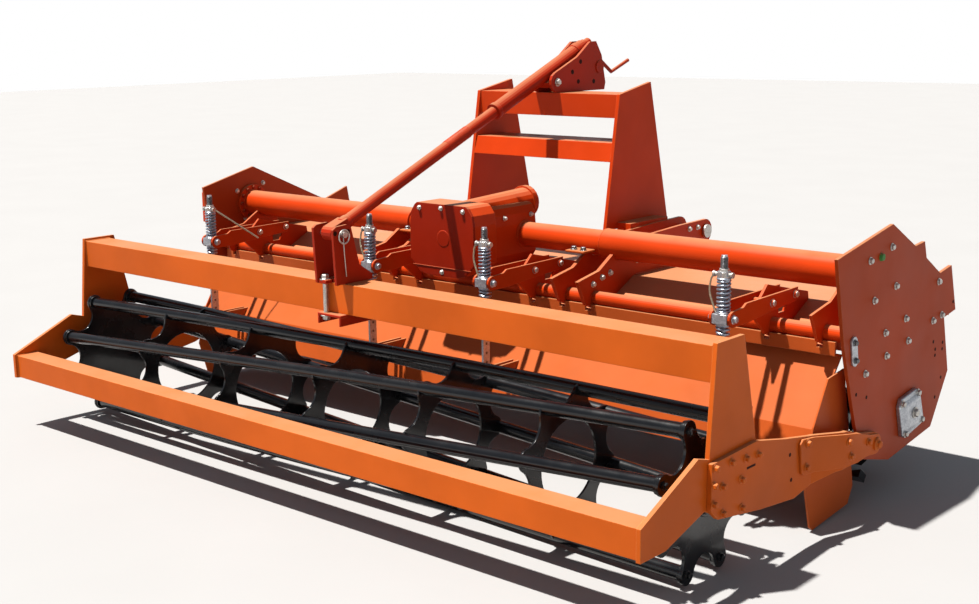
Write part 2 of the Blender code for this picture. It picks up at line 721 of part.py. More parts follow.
def jack_pivot_along():
    rise, run = JACK_PIVOT[1] - JACK_EYE[1], JACK_PIVOT[0] - JACK_EYE[0]
    return (hypot(rise, run) ** 2 - JACK_LUG**2) ** 0.5


def jack_barrel(build):
    start, end = BARREL_START, BARREL_START + BARREL_LENGTH
    mesh = cylinder_mesh("jack_barrel", jack_point(start), jack_point(end), BARREL_RADIUS, steps=20)
    barrel = build.piece("jack_barrel", mesh, JACK_RED, "jack_axis", smooth=True)
    neck = cylinder_mesh("neck", jack_point(end - 0.01), jack_point(end + 0.050), 0.019, steps=16)
    along = jack_pivot_along()
    lug_half = YOKE_HALF_GAP - CLEAR
    trapezium = ((-0.040, -0.020), (0.040, -0.020), (0.020, -0.052), (-0.020, -0.052))
    corners = [jack_point(along + a, b)[1:] for a, b in trapezium]
    lug = outline_mesh("lug", [corners], -lug_half, lug_half)
    reach = YOKE_HALF_GAP + YOKE_THICK + 0.004
    pin = cylinder_mesh("pin", (-reach, *JACK_PIVOT), (reach, *JACK_PIVOT), JACK_PIN)
    tip = jack_point(end + 0.045)
    route = [tip, (0, 0.868, 1.452), (0, 0.942, 1.404), (0, CRANK_REACH - 0.002, 1.450)]
    crank = pipe_mesh("crank", route, CRANK_RADIUS)
    build.unite(barrel, neck, lug, pin, crank)
    bore_radius = (JACK_TUBE_RADIUS + RUNNING) / cos(pi / 20)
    depth = TUBE_IN_BARREL + 0.160
    bore = cylinder_mesh("bore", jack_point(start - 0.05), jack_point(start + depth), bore_radius, steps=20)
    build.cut(barrel, bore)


def jack_screw(build):
    end = BARREL_START + TUBE_IN_BARREL
    mesh = cylinder_mesh("jack_screw", jack_point(0.045), jack_point(end), JACK_TUBE_RADIUS, steps=20)
    screw = build.piece("jack_screw", mesh, JACK_RED, "jack_axis", smooth=True)
    half = JACK_BRACKET_GAP / 2 - CLEAR - 0.014
    eye = [jack_point(0.070, 0.021)[1:]] + arc(JACK_EYE, 0.026, 120, 300, 7) + [jack_point(0.070, -0.021)[1:]]
    build.unite(screw, outline_mesh("eye", [eye], -half, half))


def jack_bracket(build):
    """Two ears on a foot that sits on the roller's top beam."""
    top = TOP_BEAM_BASE + TOP_BEAM_SIZE + SEAT
    rear, front = TOP_BEAM_REAR, TOP_BEAM_REAR + TOP_BEAM_DEPTH
    edge = [(rear - 0.036, top), (rear - 0.046, top + 0.195), (rear - 0.030, top + 0.205)]
    edge += [(rear + 0.020, top + 0.208), (rear + 0.040, top + 0.195), (rear + 0.075, top + 0.060)]
    edge += [(front + 0.020, top + 0.020), (front + 0.020, top)]
    plates = []
    for side in (-1, 1):
        faces = sorted((side * JACK_BRACKET_GAP / 2, side * (JACK_BRACKET_GAP / 2 + 0.010)))
        plates.append(outline_mesh("ear", [edge], *faces))
    bracket = build.piece("jack_bracket", plates[0], JACK_RED, "roller_frame_axis")
    half = JACK_BRACKET_GAP / 2 + 0.005
    base = box_outline((rear + 0.004, top + 0.0004), (front - 0.004, top + 0.012))
    foot = outline_mesh("foot", [base], -half, half)
    build.unite(bracket, plates[1], foot)


# Roller frame


def roller_beams(build):
    half = HALF_WIDTH - FRAME_INSET - SEAT
    low = (TOP_BEAM_REAR, TOP_BEAM_BASE)
    high = (TOP_BEAM_REAR + TOP_BEAM_DEPTH, TOP_BEAM_BASE + TOP_BEAM_SIZE)
    wall = TOP_BEAM_WALL
    hollow = box_outline((low[0] + wall, low[1] + wall), (high[0] - wall, high[1] - wall))
    mesh = outline_mesh("roller_beam", [box_outline(low, high), hollow], -half, half)
    build.piece("roller_beam", mesh, FRAME_ORANGE, "roller_frame_axis")
    low = (BUMPER_REAR, BUMPER_BASE)
    high = (BUMPER_REAR + BUMPER_SIZE, BUMPER_BASE + BUMPER_SIZE)
    hollow = box_outline((low[0] + wall, low[1] + wall), (high[0] - wall, high[1] - wall))
    mesh = outline_mesh("bumper_beam", [box_outline(low, high), hollow], -half, half)
    build.piece("bumper_beam", mesh, FRAME_ORANGE, "roller_frame_axis")


def end_frames(build):
    """Each end plate: an upright to the top beam and an arm back to the bumper."""
    inner = HALF_WIDTH - FRAME_INSET
    top = TOP_BEAM_BASE + TOP_BEAM_SIZE + 0.010
    front = TOP_BEAM_REAR + TOP_BEAM_DEPTH
    edge = [(TOP_BEAM_REAR - 0.004, top), (front + 0.025, top)]
    edge += [(ROLLER_Y + 0.152, 0.385), (ROLLER_Y + 0.158, 0.235)]
    edge += [(ROLLER_Y - 0.070, 0.235), (ROLLER_Y - 0.125, 0.262), (ROLLER_Y - 0.319, BUMPER_BASE - 0.002)]
    edge += [(BUMPER_REAR - 0.010, BUMPER_BASE - 0.002), (BUMPER_REAR - 0.010, BUMPER_BASE + BUMPER_SIZE + 0.004)]
    edge += [(ROLLER_Y - 0.162, 0.425), (ROLLER_Y - 0.105, 0.409)]
    for side, name in ((1, "end_frame_right"), (-1, "end_frame_left")):
        faces = sorted((side * inner, side * (inner + PLATE)))
        build.piece(name, outline_mesh(name, [edge], *faces), FRAME_ORANGE, "roller_frame_axis")


def roller_arms(build):
    """Each arm: a base plate on the end frame, bent out to a link on the side plate's outer face."""
    base = HALF_WIDTH - FRAME_INSET + PLATE + SEAT
    link = HALF_WIDTH + CLEAR
    edge = [(ROLLER_Y - 0.115, 0.400), (ROLLER_Y + 0.130, 0.410), (-0.334, 0.375), (-0.165, 0.345)]
    edge += [(0.000, 0.328), (0.072, 0.304)] + arc(FRAME_PIVOT, 0.038, 75, -95, 8) + [(0.120, 0.212), (-0.059, 0.205)]
    edge += [(-0.165, 0.185), (-0.266, 0.168), (ROLLER_Y + 0.158, 0.191), (ROLLER_Y - 0.077, 0.228)]
    edge += [(ROLLER_Y - 0.115, 0.260)]
    for side, name in ((1, "roller_arm_right"), (-1, "roller_arm_left")):
        strip = [(base, -1.2), (base + PLATE, -1.2), (base + PLATE, -0.160), (link + PLATE, -0.030)]
        strip += [(link + PLATE, 0.5), (link, 0.5), (link, -0.026), (base, -0.152)]
        strip = [(side * x, y) for x, y in strip]
        faces = sorted((side * (base - 0.02), side * (link + PLATE + 0.02)))
        arm = build.piece(name, outline_mesh(name, [edge], *faces), FRAME_ORANGE, "roller_frame_axis")
        build.boolean(arm, outline_mesh("strip", [strip], 0.1, 0.6, TOP_VIEW), "INTERSECT")
        start, end = side * (HALF_WIDTH + SEAT), side * (link + 0.008)
        build.unite(arm, cylinder_mesh("boss", (start, *FRAME_PIVOT), (end, *FRAME_PIVOT), PIVOT_BOSS))


# Roller


def bar_angle(number, along):
    """A bar's angle about the roller's axis, for a share of the roller's length from its left end."""
    return (number + 0.5) * 2 * pi / BARS + BAR_TWIST * along


def polar(radius, angle, across=0.0):
    """A side-view point at a radius and angle about the roller's axis, moved sideways by across."""
    y = ROLLER_Y + radius * cos(angle) - across * sin(angle)
    return (y, ROLLER_Z + radius * sin(angle) + across * cos(angle))


def end_disc_mesh(name, along, place):
    """A solid plate with a round lobe for each bar's end and a scallop between them."""
    edge = []
    for number in range(BARS):
        angle = bar_angle(number, along)
        turn = angle * 180 / pi
        edge += arc(polar(BAR_PITCH_RADIUS, angle), LOBE_RADIUS, turn - 100, turn + 100, 5)
        edge.append(polar(VALLEY_RADIUS, angle + pi / BARS))
    return outline_mesh(name, [edge], place - DISC_THICK / 2, place + DISC_THICK / 2)


def ring_mesh(along, place):
    """An open ring, flared out to each bar and scalloped between them."""
    edge = []
    for number in range(BARS):
        angle = bar_angle(number, along)
        for across in (-1, -0.5, 0.5, 1):
            radius = BAR_PITCH_RADIUS - (0.016 if abs(across) > 0.5 else 0)
            edge.append(polar(radius, angle, across * RING_LOBE_HALF))
        edge.append(polar(VALLEY_RADIUS, angle + pi / BARS))
    loops = [edge, circle((ROLLER_Y, ROLLER_Z), RING_HOLE, 16)]
    return outline_mesh("ring", loops, place - RING_THICK / 2, place + RING_THICK / 2)


def roller_half():
    return HALF_WIDTH - FRAME_INSET - ROLLER_END_GAP


def bar_mesh(number, inner, radius):
    """One bar, which winds a part of a turn between the end discs."""
    points = []
    for step in range(BAR_STEPS + 1):
        along = step / BAR_STEPS
        points.append((inner * (2 * along - 1), *polar(BAR_PITCH_RADIUS, bar_angle(number, along))))
    return pipe_mesh("bar", points, radius)


def roller(build):
    half = roller_half()
    inner = half - DISC_THICK - SEAT
    lean = abs(BAR_TWIST) * BAR_PITCH_RADIUS / (2 * inner)
    inner -= BAR_RADIUS * lean
    for number in range(BARS):
        bar = bar_mesh(number, inner, BAR_RADIUS)
        build.piece(f"roller_bar_{number + 1}", bar, GLOSS_BLACK, "roller_axis", smooth=True)
    for number in range(1, RINGS + 1):
        along = number / (RINGS + 1)
        mesh = ring_mesh(along, inner * (2 * along - 1))
        ring = build.piece(f"roller_ring_{number}", mesh, GLOSS_BLACK, "roller_axis")
        build.cut(ring, joined_mesh("notches", [bar_mesh(i, inner, BAR_RADIUS + SEAT) for i in range(BARS)]))
    for side, name, along in ((1, "roller_disc_right", 1.0), (-1, "roller_disc_left", 0.0)):
        mesh = end_disc_mesh(name, along, side * (half - DISC_THICK / 2))
        disc = build.piece(name, mesh, GLOSS_BLACK, "roller_axis")
        axle = (ROLLER_Y, ROLLER_Z)
        start, end = side * (half - DISC_THICK / 2), side * (HALF_WIDTH - FRAME_INSET - RUNNING)
        build.unite(disc, cylinder_mesh("stub", (start, *axle), (end, *axle), ROLLER_STUB_RADIUS))


# Rotor


def rotor_blade(name, side):
    """An L blade in its own plane: a shank out along +Y and a foot along X."""
    shank = BLADE_WIDTH / 2
    root = FLANGE_RADIUS - 0.035
    tip = (ROTOR_RADIUS**2 - shank**2) ** 0.5
    foot = side * BLADE_FOOT
    edge = [(root, 0.0), (tip - 0.030, 0.0), (tip, side * 0.025), (tip, foot), (tip - 0.030, foot)]
    edge += [(tip - BLADE_THICK - 0.002, side * 0.035), (tip - 0.045, side * BLADE_THICK)]
    edge += [(root, side * BLADE_THICK)]
    mesh = outline_mesh(name, [edge], -shank, shank, TOP_VIEW)
    mesh.transform(Matrix(((0, 1, 0, 0), (1, 0, 0, 0), (0, 0, -1, 0), (0, 0, 0, 1))))
    return mesh


def rotor(build):
    """A turned shaft with flanges, and six L blades bolted round each flange."""
    reach = HALF_WIDTH + SEAT - RUNNING
    body = HALF_WIDTH - SIDE_THICK - ROTOR_END_GAP
    spacing = 2 * (body - BLADE_FOOT - 0.030) / (FLANGES - 1)
    places = [(number - (FLANGES - 1) / 2) * spacing for number in range(FLANGES)]
    profile = [(-reach, 0.0), (-reach, ROTOR_STUB_RADIUS), (-body, ROTOR_STUB_RADIUS), (-body, ROTOR_SHAFT_RADIUS)]
    for place in places:
        low, high = place - FLANGE_THICK / 2, place + FLANGE_THICK / 2
        profile += [(low, ROTOR_SHAFT_RADIUS), (low, FLANGE_RADIUS)]
        profile += [(high, FLANGE_RADIUS), (high, ROTOR_SHAFT_RADIUS)]
    profile += [(body, ROTOR_SHAFT_RADIUS), (body, ROTOR_STUB_RADIUS), (reach, ROTOR_STUB_RADIUS), (reach, 0.0)]
    axle = (ROTOR_Y, ROTOR_Z)
    drum = build.piece("rotor", turned_mesh("rotor", profile, axle, steps=16), GLOSS_BLACK, "rotor_axis")
    blades = []
    for row, place in enumerate(places):
        for number in range(BLADES_A_FLANGE):
            side = 1 if number % 2 else -1
            angle = 2 * pi * (number / BLADES_A_FLANGE + row / (BLADES_A_FLANGE * FLANGES))
            blade = rotor_blade("blade", side)
            shift = Matrix.Translation((place + side * (FLANGE_THICK / 2 - 0.001), *axle))
            blade.transform(shift @ Matrix.Rotation(angle, 4, "X"))
            blades.append(blade)
    build.unite(drum, joined_mesh("blades", blades))


def joint_axes(build):
    build.axis("tailboard_axis", (0, *HINGE))
    build.axis("trunnion_axis", (0, *TRUNNION))
    build.axis("roller_frame_axis", (0, *FRAME_PIVOT))
    build.axis("roller_axis", (0, ROLLER_Y, ROLLER_Z))
    build.axis("rotor_axis", (0, ROTOR_Y, ROTOR_Z))
    build.axis("input_axis", (0, NOSE_FRONT, INPUT_Z))
    build.axis("jack_axis", (0, *JACK_PIVOT))


def main():
    clear_scene()
    build = Builder()
    joint_axes(build)
    for make in (side_plates, side_ribs, main_tube, hood, hinge_tube, drive_case, bearing_cap):
        make(build)
    for make in (gearbox, input_shaft):
        make(build)
    for make in (headstock, hitch_brackets, jack_yoke, tailboard, skirts, rod_arms, spring_packs, spring_rods):
        make(build)
    for make in (jack_barrel, jack_screw, jack_bracket, roller_beams, end_frames, roller_arms):
        make(build)
    for make in (roller, rotor):
        make(build)


main()
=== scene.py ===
"""Looks of a tractor-mounted rotary tiller with a rear cage roller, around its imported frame.

Metres. +X is the machine's right side, +Y points to the tractor and +Z is up.
Side views are (Y, Z) points.
"""

import json
import math
from math import cos, pi, radians, sin

import bmesh
import bpy
from mathutils import Matrix, Vector


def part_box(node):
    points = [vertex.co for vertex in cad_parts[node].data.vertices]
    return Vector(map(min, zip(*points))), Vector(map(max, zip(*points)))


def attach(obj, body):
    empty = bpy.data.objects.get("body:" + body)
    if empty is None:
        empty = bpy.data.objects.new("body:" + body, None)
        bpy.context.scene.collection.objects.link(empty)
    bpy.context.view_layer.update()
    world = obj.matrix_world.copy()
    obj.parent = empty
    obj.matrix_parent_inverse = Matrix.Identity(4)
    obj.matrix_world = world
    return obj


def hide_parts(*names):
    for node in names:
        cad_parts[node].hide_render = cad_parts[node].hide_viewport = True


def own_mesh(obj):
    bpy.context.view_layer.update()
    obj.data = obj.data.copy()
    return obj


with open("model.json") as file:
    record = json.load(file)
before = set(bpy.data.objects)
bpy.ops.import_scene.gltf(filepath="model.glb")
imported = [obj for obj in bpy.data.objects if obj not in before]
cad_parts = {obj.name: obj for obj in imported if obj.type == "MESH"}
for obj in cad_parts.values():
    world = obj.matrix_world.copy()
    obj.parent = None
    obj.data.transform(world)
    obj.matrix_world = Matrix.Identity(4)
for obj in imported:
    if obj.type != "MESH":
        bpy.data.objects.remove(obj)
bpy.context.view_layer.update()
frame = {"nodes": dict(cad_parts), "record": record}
NODES = frame["nodes"]

# Main places, the same as the frame's
HALF_WIDTH = 1.600
SIDE_THICK = 0.012
TUBE = (0.235, 0.795)
TRUNNION = (-0.235, 0.693)
ROD_EYE = (-0.235, 0.345)
FRAME_PIVOT = (0.195, 0.240)
ROTOR_AXLE = (0.489, 0.280)
ROLLER_AXLE = (-0.630, 0.257)
HITCH_PIN = (0.820, 0.778)
TOP_PIN = (0.785, 1.430)
JACK_PIVOT = (0.501, 1.377)
HITCH_INNER, HITCH_OUTER = 0.430, 0.565
YOKE_FACE = 0.0545
ROD_PLACES = (-1.296, -0.297, 0.297, 1.296)
GEARBOX_BACK = -0.1453
INPUT_Z = 0.904

# Main tubes
THIN_RADIUS, SLEEVE_RADIUS, FLANGE_RADIUS = 0.049, 0.0565, 0.0845
SLEEVE_START = 0.500
FLANGE_THICK = 0.014
FLANGE_BOLTS = 12

# Springs and rods
COIL_RADIUS = 0.0195
WIRE_RADIUS = 0.0042
UPPER_SPRING = (0.716, 0.820)
LOWER_SPRING = (0.670, 0.517)
UPPER_TURNS, LOWER_TURNS = 8.5, 10.5
THREAD = (0.845, 0.893)
THREAD_PITCH = 0.0035
WING_Z = 0.834

# Roller
BARS = 8
BAR_RADIUS = 0.0228
BAR_PITCH_RADIUS = 0.234
BAR_TWIST = radians(-45)
BAR_STEPS = 48
RINGS = 5
ROLLER_HALF = 1.490
DISC_LOBE, DISC_VALLEY = 0.033, 0.176
RING_LOBE_PLACE, RING_LOBE, RING_VALLEY = 0.213, 0.038, 0.197
RING_HOLE = 0.140

# Arms: the bend lines' Y, and the outer faces' |X| before and after them
ARM_BENDS = (-0.160, -0.030)
ARM_FACES = (1.5803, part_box("roller_arm_right")[1].x)
LINK_THICK = 0.0085
LINK_EYE_RADIUS = 0.034

# Jack
JACK_EYE = (-0.705, 0.905)
JACK_ANGLE = radians(22.945)

# Camera: its yaw, pitch and roll, its place and its lens in millimetres
CAMERA_TURN = (0.718257417, 0.202045084, -0.0122731518)
CAMERA_PLACE = (3.49607, -3.87153, 1.61202)
CAMERA_LENS = 49.939

# The pale colour mixed onto upward faces: a painted highlight where the key light falls on tops
TOP_HIGHLIGHT = (0.30, 0.17, 0.085)


# Materials


def new_material(name):
    made = bpy.data.materials.new(name)
    made.use_nodes = True
    return made, made.node_tree, made.node_tree.nodes["Principled BSDF"]


def add_node(tree, kind, **values):
    """A node whose inputs are given by name, with _ for a space."""
    node = tree.nodes.new(kind)
    for key, value in values.items():
        node.inputs[key.replace("_", " ")].default_value = value
    return node


def noise(tree, scale, detail=4.0, roughness=0.55):
    place = tree.nodes.new("ShaderNodeTexCoord")
    node = add_node(tree, "ShaderNodeTexNoise", Scale=scale, Detail=detail, Roughness=roughness)
    tree.links.new(place.outputs["Object"], node.inputs["Vector"])
    return node.outputs["Fac"]


def ramp(tree, source, low, high, start=0.0, end=1.0):
    node = add_node(tree, "ShaderNodeMapRange", From_Min=low, From_Max=high, To_Min=start, To_Max=end)
    tree.links.new(source, node.inputs["Value"])
    return node.outputs["Result"]


def mix_colour(tree, amount, first, second):
    node = tree.nodes.new("ShaderNodeMix")
    node.data_type = "RGBA"
    sockets = [socket for socket in node.inputs if socket.enabled]
    tree.links.new(amount, sockets[0])
    for socket, value in zip(sockets[1:], (first, second)):
        if isinstance(value, tuple):
            socket.default_value = (*value, 1.0)
        else:
            tree.links.new(value, socket)
    return [socket for socket in node.outputs if socket.enabled][0]


def math_node(tree, operation, first, second):
    node = tree.nodes.new("ShaderNodeMath")
    node.operation = operation
    node.use_clamp = True
    for socket, value in zip(node.inputs, (first, second)):
        if isinstance(value, float):
            socket.default_value = value
        else:
            tree.links.new(value, socket)
    return node.outputs[0]


def edge_mask(tree, radius):
    """1 along sharp edges and 0 on flat faces, and the normal with those edges rounded."""
    bevel = tree.nodes.new("ShaderNodeBevel")
    bevel.samples = 4
    bevel.inputs["Radius"].default_value = radius
    flat = tree.nodes.new("ShaderNodeNewGeometry")
    dot = tree.nodes.new("ShaderNodeVectorMath")
    dot.operation = "DOT_PRODUCT"
    tree.links.new(bevel.outputs["Normal"], dot.inputs[0])
    tree.links.new(flat.outputs["Normal"], dot.inputs[1])
    return ramp(tree, dot.outputs["Value"], 0.995, 0.80), bevel.outputs["Normal"]


def bump(tree, height, normal, strength, distance):
    node = add_node(tree, "ShaderNodeBump", Strength=strength, Distance=distance)
    tree.links.new(height, node.inputs["Height"])
    if normal is not None:
        tree.links.new(normal, node.inputs["Normal"])
    return node.outputs["Normal"]


def top_highlight_mask(tree):
    """How much painted highlight the paint gets: more on faces that look up, and broken by noise."""
    facing = tree.nodes.new("ShaderNodeNewGeometry")
    split = tree.nodes.new("ShaderNodeSeparateXYZ")
    tree.links.new(facing.outputs["Normal"], split.inputs[0])
    up = ramp(tree, split.outputs["Z"], 0.55, 1.0, 0.0, 0.70)
    broken = ramp(tree, noise(tree, 5.0, 6.0, 0.6), 0.25, 0.55, 0.65, 1.0)
    return math_node(tree, "MULTIPLY", up, broken)


def paint(name, colour, edge_highlight, roughness=0.40, edge_highlight_share=0.5):
    """Sprayed paint: slow tone changes, dust, a painted highlight on upward faces and along edges, and
    a fine orange-peel surface.
    """
    made, tree, shader = new_material(name)
    dark = tuple(value * 0.80 for value in colour)
    dusty = tuple(value * 0.96 + 0.004 for value in colour)
    tone = mix_colour(tree, ramp(tree, noise(tree, 2.3), 0.35, 0.65), dark, colour)
    dust = math_node(tree, "MULTIPLY", ramp(tree, noise(tree, 9.0, 8.0, 0.7), 0.52, 0.75), 0.30)
    tone = mix_colour(tree, dust, tone, dusty)
    # Upward faces are mixed towards a pale colour: painted highlight on the tops
    tone = mix_colour(tree, top_highlight_mask(tree), tone, TOP_HIGHLIGHT)
    edges, rounded = edge_mask(tree, 0.0035)
    # Edges are mixed towards a lighter colour in broken patches: a painted highlight where edges catch
    # the light
    edge_glint = math_node(tree, "MULTIPLY", edges, ramp(tree, noise(tree, 30.0, 6.0, 0.7), 0.30, 0.62))
    tone = mix_colour(tree, math_node(tree, "MULTIPLY", edge_glint, edge_highlight_share), tone, edge_highlight)
    tree.links.new(tone, shader.inputs["Base Color"])
    rough = ramp(tree, noise(tree, 6.0, 6.0), 0.3, 0.7, roughness - 0.06, roughness + 0.10)
    tree.links.new(rough, shader.inputs["Roughness"])
    peel = bump(tree, noise(tree, 420.0, 2.0), rounded, 0.12, 0.0006)
    tree.links.new(peel, shader.inputs["Normal"])
    shader.inputs["Specular IOR Level"].default_value = 0.05
    shader.inputs["Coat Weight"].default_value = 0.05
    shader.inputs["Coat Roughness"].default_value = 0.22
    return made


def gloss_black(name):
    """Thick gloss enamel with faint dust and a painted highlight along its edges."""
    made, tree, shader = new_material(name)
    dust = math_node(tree, "MULTIPLY", ramp(tree, noise(tree, 12.0, 8.0, 0.7), 0.50, 0.80), 0.35)
    tone = mix_colour(tree, dust, (0.0025, 0.003, 0.004), (0.012, 0.012, 0.013))
    edges, rounded = edge_mask(tree, 0.003)
    # Edges are mixed towards a lighter grey: a painted highlight where edges catch the light
    edge_glint = math_node(tree, "MULTIPLY", edges, ramp(tree, noise(tree, 45.0, 6.0, 0.7), 0.45, 0.70))
    tone = mix_colour(tree, math_node(tree, "MULTIPLY", edge_glint, 0.4), tone, (0.06, 0.06, 0.065))
    tree.links.new(tone, shader.inputs["Base Color"])
    rough = ramp(tree, noise(tree, 8.0, 6.0), 0.3, 0.7, 0.13, 0.34)
    tree.links.new(rough, shader.inputs["Roughness"])
    waves = bump(tree, noise(tree, 60.0, 3.0), rounded, 0.10, 0.002)
    tree.links.new(waves, shader.inputs["Normal"])
    shader.inputs["Specular IOR Level"].default_value = 0.4
    shader.inputs["Coat Weight"].default_value = 0.2
    shader.inputs["Coat Roughness"].default_value = 0.08
    return made


def plated(name, light, dark, roughness, scale=120.0):
    """Zinc-plated or bare steel: mottled, with a fine grain, duller in patches, and with a painted
    highlight along its edges.
    """
    made, tree, shader = new_material(name)
    patches = ramp(tree, noise(tree, scale, 6.0, 0.7), 0.35, 0.65)
    tone = mix_colour(tree, patches, dark, light)
    edges, rounded = edge_mask(tree, 0.0015)
    # Edges are mixed towards near-white: a painted highlight where edges catch the light
    tone = mix_colour(tree, math_node(tree, "MULTIPLY", edges, 0.5), tone, (0.75, 0.76, 0.78))
    tree.links.new(tone, shader.inputs["Base Color"])
    shader.inputs["Metallic"].default_value = 0.85
    rough = ramp(tree, noise(tree, scale / 3, 4.0), 0.3, 0.7, roughness - 0.08, roughness + 0.12)
    tree.links.new(rough, shader.inputs["Roughness"])
    grain = bump(tree, noise(tree, scale * 6, 2.0), rounded, 0.10, 0.0005)
    tree.links.new(grain, shader.inputs["Normal"])
    return made


def floor_material():
    made, tree, shader = new_material("floor_white")
    tone = mix_colour(tree, noise(tree, 1.5), (0.27, 0.27, 0.27), (0.29, 0.29, 0.29))
    tree.links.new(tone, shader.inputs["Base Color"])
    shader.inputs["Roughness"].default_value = 0.85
    return made


MATERIALS = {
    "tiller_paint": paint("tiller_paint", (0.50, 0.040, 0.004), (0.85, 0.24, 0.10)),
    "frame_paint": paint("frame_paint", (0.55, 0.098, 0.009), (0.95, 0.40, 0.13)),
    "jack_paint": paint("jack_paint", (0.34, 0.019, 0.005), (0.65, 0.14, 0.07)),
    "black_gloss": gloss_black("black_gloss"),
    "zinc": plated("zinc", (0.55, 0.57, 0.60), (0.30, 0.32, 0.36), 0.36),
}
SHEET_PAINT = paint("sheet_paint", (0.43, 0.078, 0.015), (0.80, 0.30, 0.13), 0.36)
# A paler copy of the tiller paint for the hood: painted highlight for the glare on its top
HOOD_HIGHLIGHT_PAINT = paint("hood_painted_highlight", (0.60, 0.150, 0.065), (0.95, 0.42, 0.22), 0.34)
# A darker copy of the tiller paint for the gearbox cover, its trim and the flange bolts: painted shade
# on the gearbox cover
COVER_PAINT = paint("cover_paint", (0.27, 0.012, 0.0015), (0.75, 0.16, 0.06), 0.45)
# A darker copy of the orange paint for both side plates: painted shade
PLATE_SHADE_PAINT = paint("plate_painted_shade", (0.37, 0.046, 0.009), (0.75, 0.26, 0.12), 0.40)
NODE_PAINTS = {
    "hood": HOOD_HIGHLIGHT_PAINT,
    "gearbox_cover": COVER_PAINT,
    "tailboard": SHEET_PAINT,
    "skirt_left": SHEET_PAINT,
    "skirt_right": SHEET_PAINT,
    "side_plate_left": PLATE_SHADE_PAINT,
    "side_plate_right": PLATE_SHADE_PAINT,
}
BOLT_STEEL = plated("bolt_steel", (0.62, 0.60, 0.56), (0.36, 0.34, 0.31), 0.40, 200.0)
DARK_STEEL = plated("dark_steel", (0.16, 0.16, 0.17), (0.06, 0.06, 0.065), 0.42)
BLUE_SPRING = plated("spring_steel", (0.42, 0.47, 0.56), (0.22, 0.25, 0.31), 0.34)
BRASSY = plated("passivated_zinc", (0.62, 0.52, 0.34), (0.36, 0.30, 0.20), 0.38)
GREEN_PLUG = paint("green_plug", (0.06, 0.22, 0.05), (0.30, 0.45, 0.28))
# Near-black paint for discs and patches that stand in for holes: painted shade inside them
HOLE_SHADE = paint("hole_painted_shade", (0.030, 0.005, 0.002), (0.10, 0.02, 0.01), 0.7)


def finish_frame():
    """Each CAD node gets its slot's material, or the paint that NODE_PAINTS gives it."""
    slots = {part["node"]: part["material_slot"] for part in frame["record"]["subparts"]}
    for name, node in NODES.items():
        node.data.materials.clear()
        node.data.materials.append(NODE_PAINTS.get(name) or MATERIALS[slots[name]])


# Shapes, all added to a bmesh


def add_mesh(work, mesh, matrix=None):
    if matrix is not None:
        mesh.transform(matrix)
    work.from_mesh(mesh)
    bpy.data.meshes.remove(mesh)


def turn_to(direction):
    return Vector(direction).to_track_quat("Z", "Y").to_matrix().to_4x4()


def add_rod(work, start, end, radius, end_radius=None, steps=20):
    start, end = Vector(start), Vector(end)
    matrix = Matrix.Translation((start + end) / 2) @ turn_to(end - start)
    far = radius if end_radius is None else end_radius
    length = (end - start).length
    bmesh.ops.create_cone(
        work, cap_ends=True, segments=steps, radius1=radius, radius2=far, depth=length, matrix=matrix
    )


def add_box(work, low, high):
    low, high = Vector(low), Vector(high)
    size = Matrix.Diagonal((*(high - low), 1.0))
    bmesh.ops.create_cube(work, size=1.0, matrix=Matrix.Translation((low + high) / 2) @ size)


def add_bolt(work, place, direction, radius=0.011, height=0.009):
    """A washer, a hexagon head and its chamfered top, standing on a face."""
    direction = Vector(direction).normalized()
    place = Vector(place)
    radius, washer = radius * 0.85, radius * 0.18
    shoulder = washer + height * 0.75
    add_rod(work, place - direction * 0.001, place + direction * washer, radius * 1.32, steps=20)
    add_rod(work, place + direction * washer * 0.9, place + direction * shoulder, radius, steps=6)
    top = place + direction * (washer + height)
    add_rod(work, place + direction * shoulder, top, radius, radius * 0.78, steps=6)


def add_tube(work, points, radius, steps=8, closed=False):
    """A round tube swept along points, with its frame carried from each point to the next."""
    points = [Vector(point) for point in points]
    count = len(points)
    rings = []
    side = None
    for i, point in enumerate(points):
        before = points[i - 1] if i or closed else point
        after = points[(i + 1) % count] if i < count - 1 or closed else point
        along = (after - before).normalized()
        side = along.orthogonal() if side is None else side - along * side.dot(along)
        side.normalize()
        other = along.cross(side)
        angles = [2 * pi * k / steps for k in range(steps)]
        ring = [point + radius * (side * cos(a) + other * sin(a)) for a in angles]
        rings.append([work.verts.new(spot) for spot in ring])
    pairs = list(zip(rings, rings[1:])) + ([(rings[-1], rings[0])] if closed else [])
    for one, two in pairs:
        for k in range(steps):
            work.faces.new((one[k], one[(k + 1) % steps], two[(k + 1) % steps], two[k]))
    if not closed:
        work.faces.new(rings[0][::-1])
        work.faces.new(rings[-1])


def rounded_route(points, radius=0.02, steps=5):
    """The points with each inner corner eased by a short curve."""
    points = [Vector(point) for point in points]
    route = [points[0]]
    for before, corner, after in zip(points, points[1:], points[2:]):
        start = corner + (before - corner).normalized() * radius
        end = corner + (after - corner).normalized() * radius
        for step in range(steps + 1):
            t = step / steps
            route.append(start * (1 - t) ** 2 + corner * 2 * t * (1 - t) + end * t**2)
    return route + [points[-1]]


